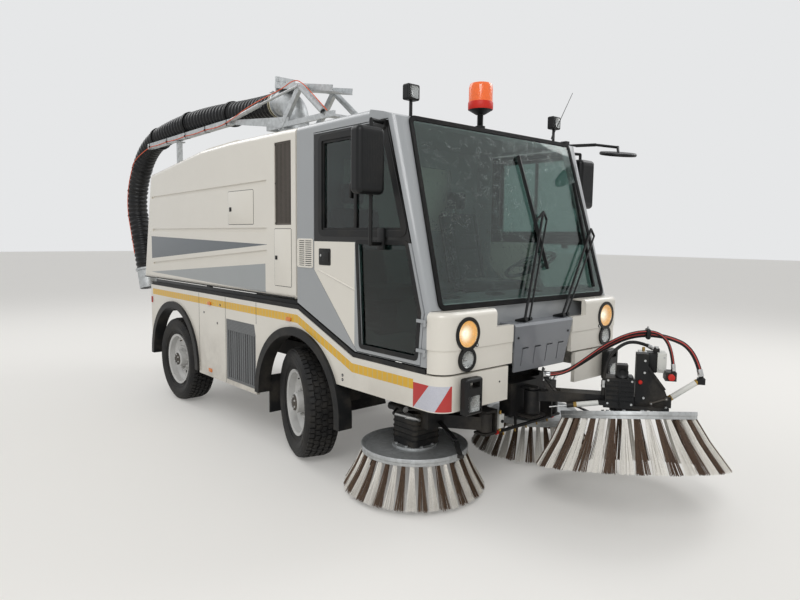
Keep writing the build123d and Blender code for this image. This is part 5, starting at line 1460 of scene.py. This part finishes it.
def makeCable():
    bm = bmesh.new()
    start, end = Vector(cable["beamStart"]), Vector(cable["beamEnd"])
    side = Vector((0, 0, 1)).cross(end - start).normalized()
    reach = cable["half"] + cable["radius"]
    outer = hose["outer"]
    # along the beam it sags between the ties
    stations = [start.lerp(end, share) for share in steps(0.03, 0.94 / cable["spans"], cable["spans"] + 1)]
    points = [Vector(p) for p in cable["lead"]]
    for k, station in enumerate(stations):
        sag = cable["sag"] if k % 2 else 0.0
        points.append(station + side * reach - Vector((0, 0, cable["below"] + sag)))
    down = [p for p in evenly(hose["route"], 0.06) if cable["hoseTo"] < p.z < cable["hoseFrom"] and p.y > 3.4]
    gap = Vector((-outer - cable["radius"] * 0.8, 0, 0))
    points += [p + gap for p in down[::2]]
    addTube(bm, evenly(points, 0.012, 12), lambda i: cable["radius"], 10)
    size = cable["half"] + 0.0015
    for station in stations[::2]:
        addFrame(bm, rectangle(-size, size, -size, size), 0.0012, 0.002, 0.007, alongAxis(station, end), 1)
        tie = station + side * (reach + 0.002) - Vector((0, 0, cable["below"]))
        addBlock(bm, tie - Vector((0.008, 0.005, 0.009)), tie + Vector((0.006, 0.005, 0.009)), 0.002, slot=1)
    for k in range(2, len(down) - 1, 5):
        turn = alongAxis(down[k], down[k] + down[k + 1] - down[k - 1])
        addLathe(bm, [(outer + out, along) for out, along in cable["band"]], turn, 48, 1)
        hold = down[k] + gap
        half = Vector((0.006, 0.006, 0.006))
        addBlock(bm, hold - half - Vector((0.002, 0, 0)), hold + half, 0.002, slot=1)
    makePiece("boom_cable", bm, ["cableOrange", "blackPlastic"], "boom")


makeCable()
print("boom trim made")


# Seats: cushions swelled with cloth, and their frames

seat = {"x": 0.58, "cushion": ((-0.24, -0.81, 1.3), (0.24, -0.37, 1.382)),
        "head": ((-0.098, -0.21, 1.995), (0.098, -0.14, 2.145)),
        "backFoot": (-0.345, 1.34), "backHead": (-0.2, 1.965), "backHalf": 0.225, "backThick": 0.07,
        "voxel": 0.007, "pressure": 4.0, "frames": 20, "cap": 0.009, "channel": 0.006,
        # sewn channels: axis, place
        "cushionSeams": ((0, -0.15), (0, 0.15), (1, -0.68), (1, -0.59), (1, -0.5)),
        "backSeams": ((0, -0.14), (0, 0.14), (1, 0.16), (1, 0.3), (1, 0.44)), "headSeams": ((0, 0.0),)}


def padBlock(low, high, edge, cuts):
    # rounded block with loops to bend
    low, high = Vector(low), Vector(high)
    bm = moved(box(high - low), Matrix.Translation((low + high) / 2))
    roundEdges(bm, bm.edges, edge, 3)
    longEdges = [e for e in bm.edges if e.calc_length() > 0.1]
    bmesh.ops.subdivide_edges(bm, edges=longEdges, cuts=cuts, use_grid_fill=True)
    return bm


def evaluated(piece):
    return piece.evaluated_get(bpy.context.evaluated_depsgraph_get())


def swell(name, bm, crown, channels):
    # voxel remesh, cloth under pressure, then the sewn channels pressed back in
    mesh = bpy.data.meshes.new(name)
    bm.to_mesh(mesh)
    bm.free()
    holder = bpy.data.objects.new(name + "_form", mesh)
    scene.collection.objects.link(holder)
    remesh = holder.modifiers.new("remesh", "REMESH")
    remesh.mode = "VOXEL"
    remesh.voxel_size = seat["voxel"]
    bpy.context.view_layer.update()
    solid = bpy.data.meshes.new_from_object(evaluated(holder))
    bpy.data.objects.remove(holder)
    pad = bpy.data.objects.new(name + "_pad", solid)
    scene.collection.objects.link(pad)
    starts = [v.co.copy() for v in solid.vertices]
    ends = starts
    cloth = pad.modifiers.new("cloth", "CLOTH")
    cloth.settings.use_pressure = True
    cloth.settings.uniform_pressure_force = seat["pressure"]
    cloth.settings.effector_weights.gravity = 0.0
    cloth.point_cache.frame_start = 1
    cloth.point_cache.frame_end = seat["frames"]
    for number in range(1, seat["frames"] + 1):
        scene.frame_set(number)
    ends = [v.co.copy() for v in evaluated(pad).to_mesh().vertices]
    evaluated(pad).to_mesh_clear()
    pad.modifiers.remove(cloth)
    scene.frame_set(1)
    bpy.data.objects.remove(pad)
    made = bmesh.new()
    made.from_mesh(solid)
    bpy.data.meshes.remove(solid)
    made.verts.ensure_lookup_table()
    for vert, start, end in zip(made.verts, starts, ends):
        step = end - start
        vert.co = start + step * min(1.0, seat["cap"] / max(step.length, 1e-9))
    bmesh.ops.smooth_vert(made, verts=made.verts, factor=0.5, use_axis_x=True, use_axis_y=True,
                          use_axis_z=True)
    made.normal_update()
    for vert in made.verts:
        depth = max(math.exp(-((vert.co[axis] - place) / seat["channel"]) ** 2) for axis, place in channels)
        if vert.normal.dot(crown) > 0.5:
            vert.co -= vert.normal * seat["channel"] * depth
    return made


def makeSeats():
    cushion = swell("cushion", padBlock(*seat["cushion"], 0.026, 3), Vector((0, 0, 1)), seat["cushionSeams"])
    lean = slopePlane(seat["backFoot"], seat["backHead"])
    length = math.dist(seat["backFoot"], seat["backHead"])
    half, thick = seat["backHalf"], seat["backThick"] / 2
    back = swell("back", padBlock((-half, 0.01, -thick), (half, length, thick), 0.028, 3), Vector((0, 0, 1)),
                 seat["backSeams"])
    head = swell("head", padBlock(*seat["head"], 0.024, 2), Vector((0, -1, 0)), seat["headSeams"])
    forms = {"cushion": cushion, "back": moved(back, lean), "head": head}
    for side, sign in sides.items():
        for name, form in forms.items():
            bm = moved(form.copy(), Matrix.Translation((seat["x"], 0, 0)))
            if sign < 0:
                flipped(bm)
            piece = makePiece("seat_" + name + "_" + side, bm, ["seatCloth"], "truck", 180.0,
                              ["seats"] if (name, side) == ("cushion", "left") else [])
    for form in forms.values():
        form.free()
    # pedestal, tray, bellows, the head rest's rods and the shell behind the back
    bm = bmesh.new()
    addBlock(bm, (-0.15, -0.7, 1.04), (0.15, -0.44, 1.292), 0.012)
    addBlock(bm, (-0.225, -0.8, 1.284), (0.225, -0.38, 1.303), 0.008)
    for z in steps(1.07, 0.033, 6):
        addBlock(bm, (-0.156, -0.706, z), (0.156, -0.434, z + 0.014), 0.005)
    for x in (-0.045, 0.045):
        addRod(bm, (x, -0.195, 1.94), (x, -0.178, 2.03), 0.006, segments=12, slot=1)
    shell = box((2 * half - 0.03, length - 0.04, 0.022))
    roundEdges(shell, shell.edges, 0.009)
    join(bm, shell, 0, lean @ Matrix.Translation((0, length / 2, -thick - 0.002)))
    moved(bm, Matrix.Translation((seat["x"], 0, 0)))
    mirrorInto(bm)
    makePiece("seat_frames", bm, ["blackPlastic", "steel"], "truck")


makeSeats()
print("seats made")
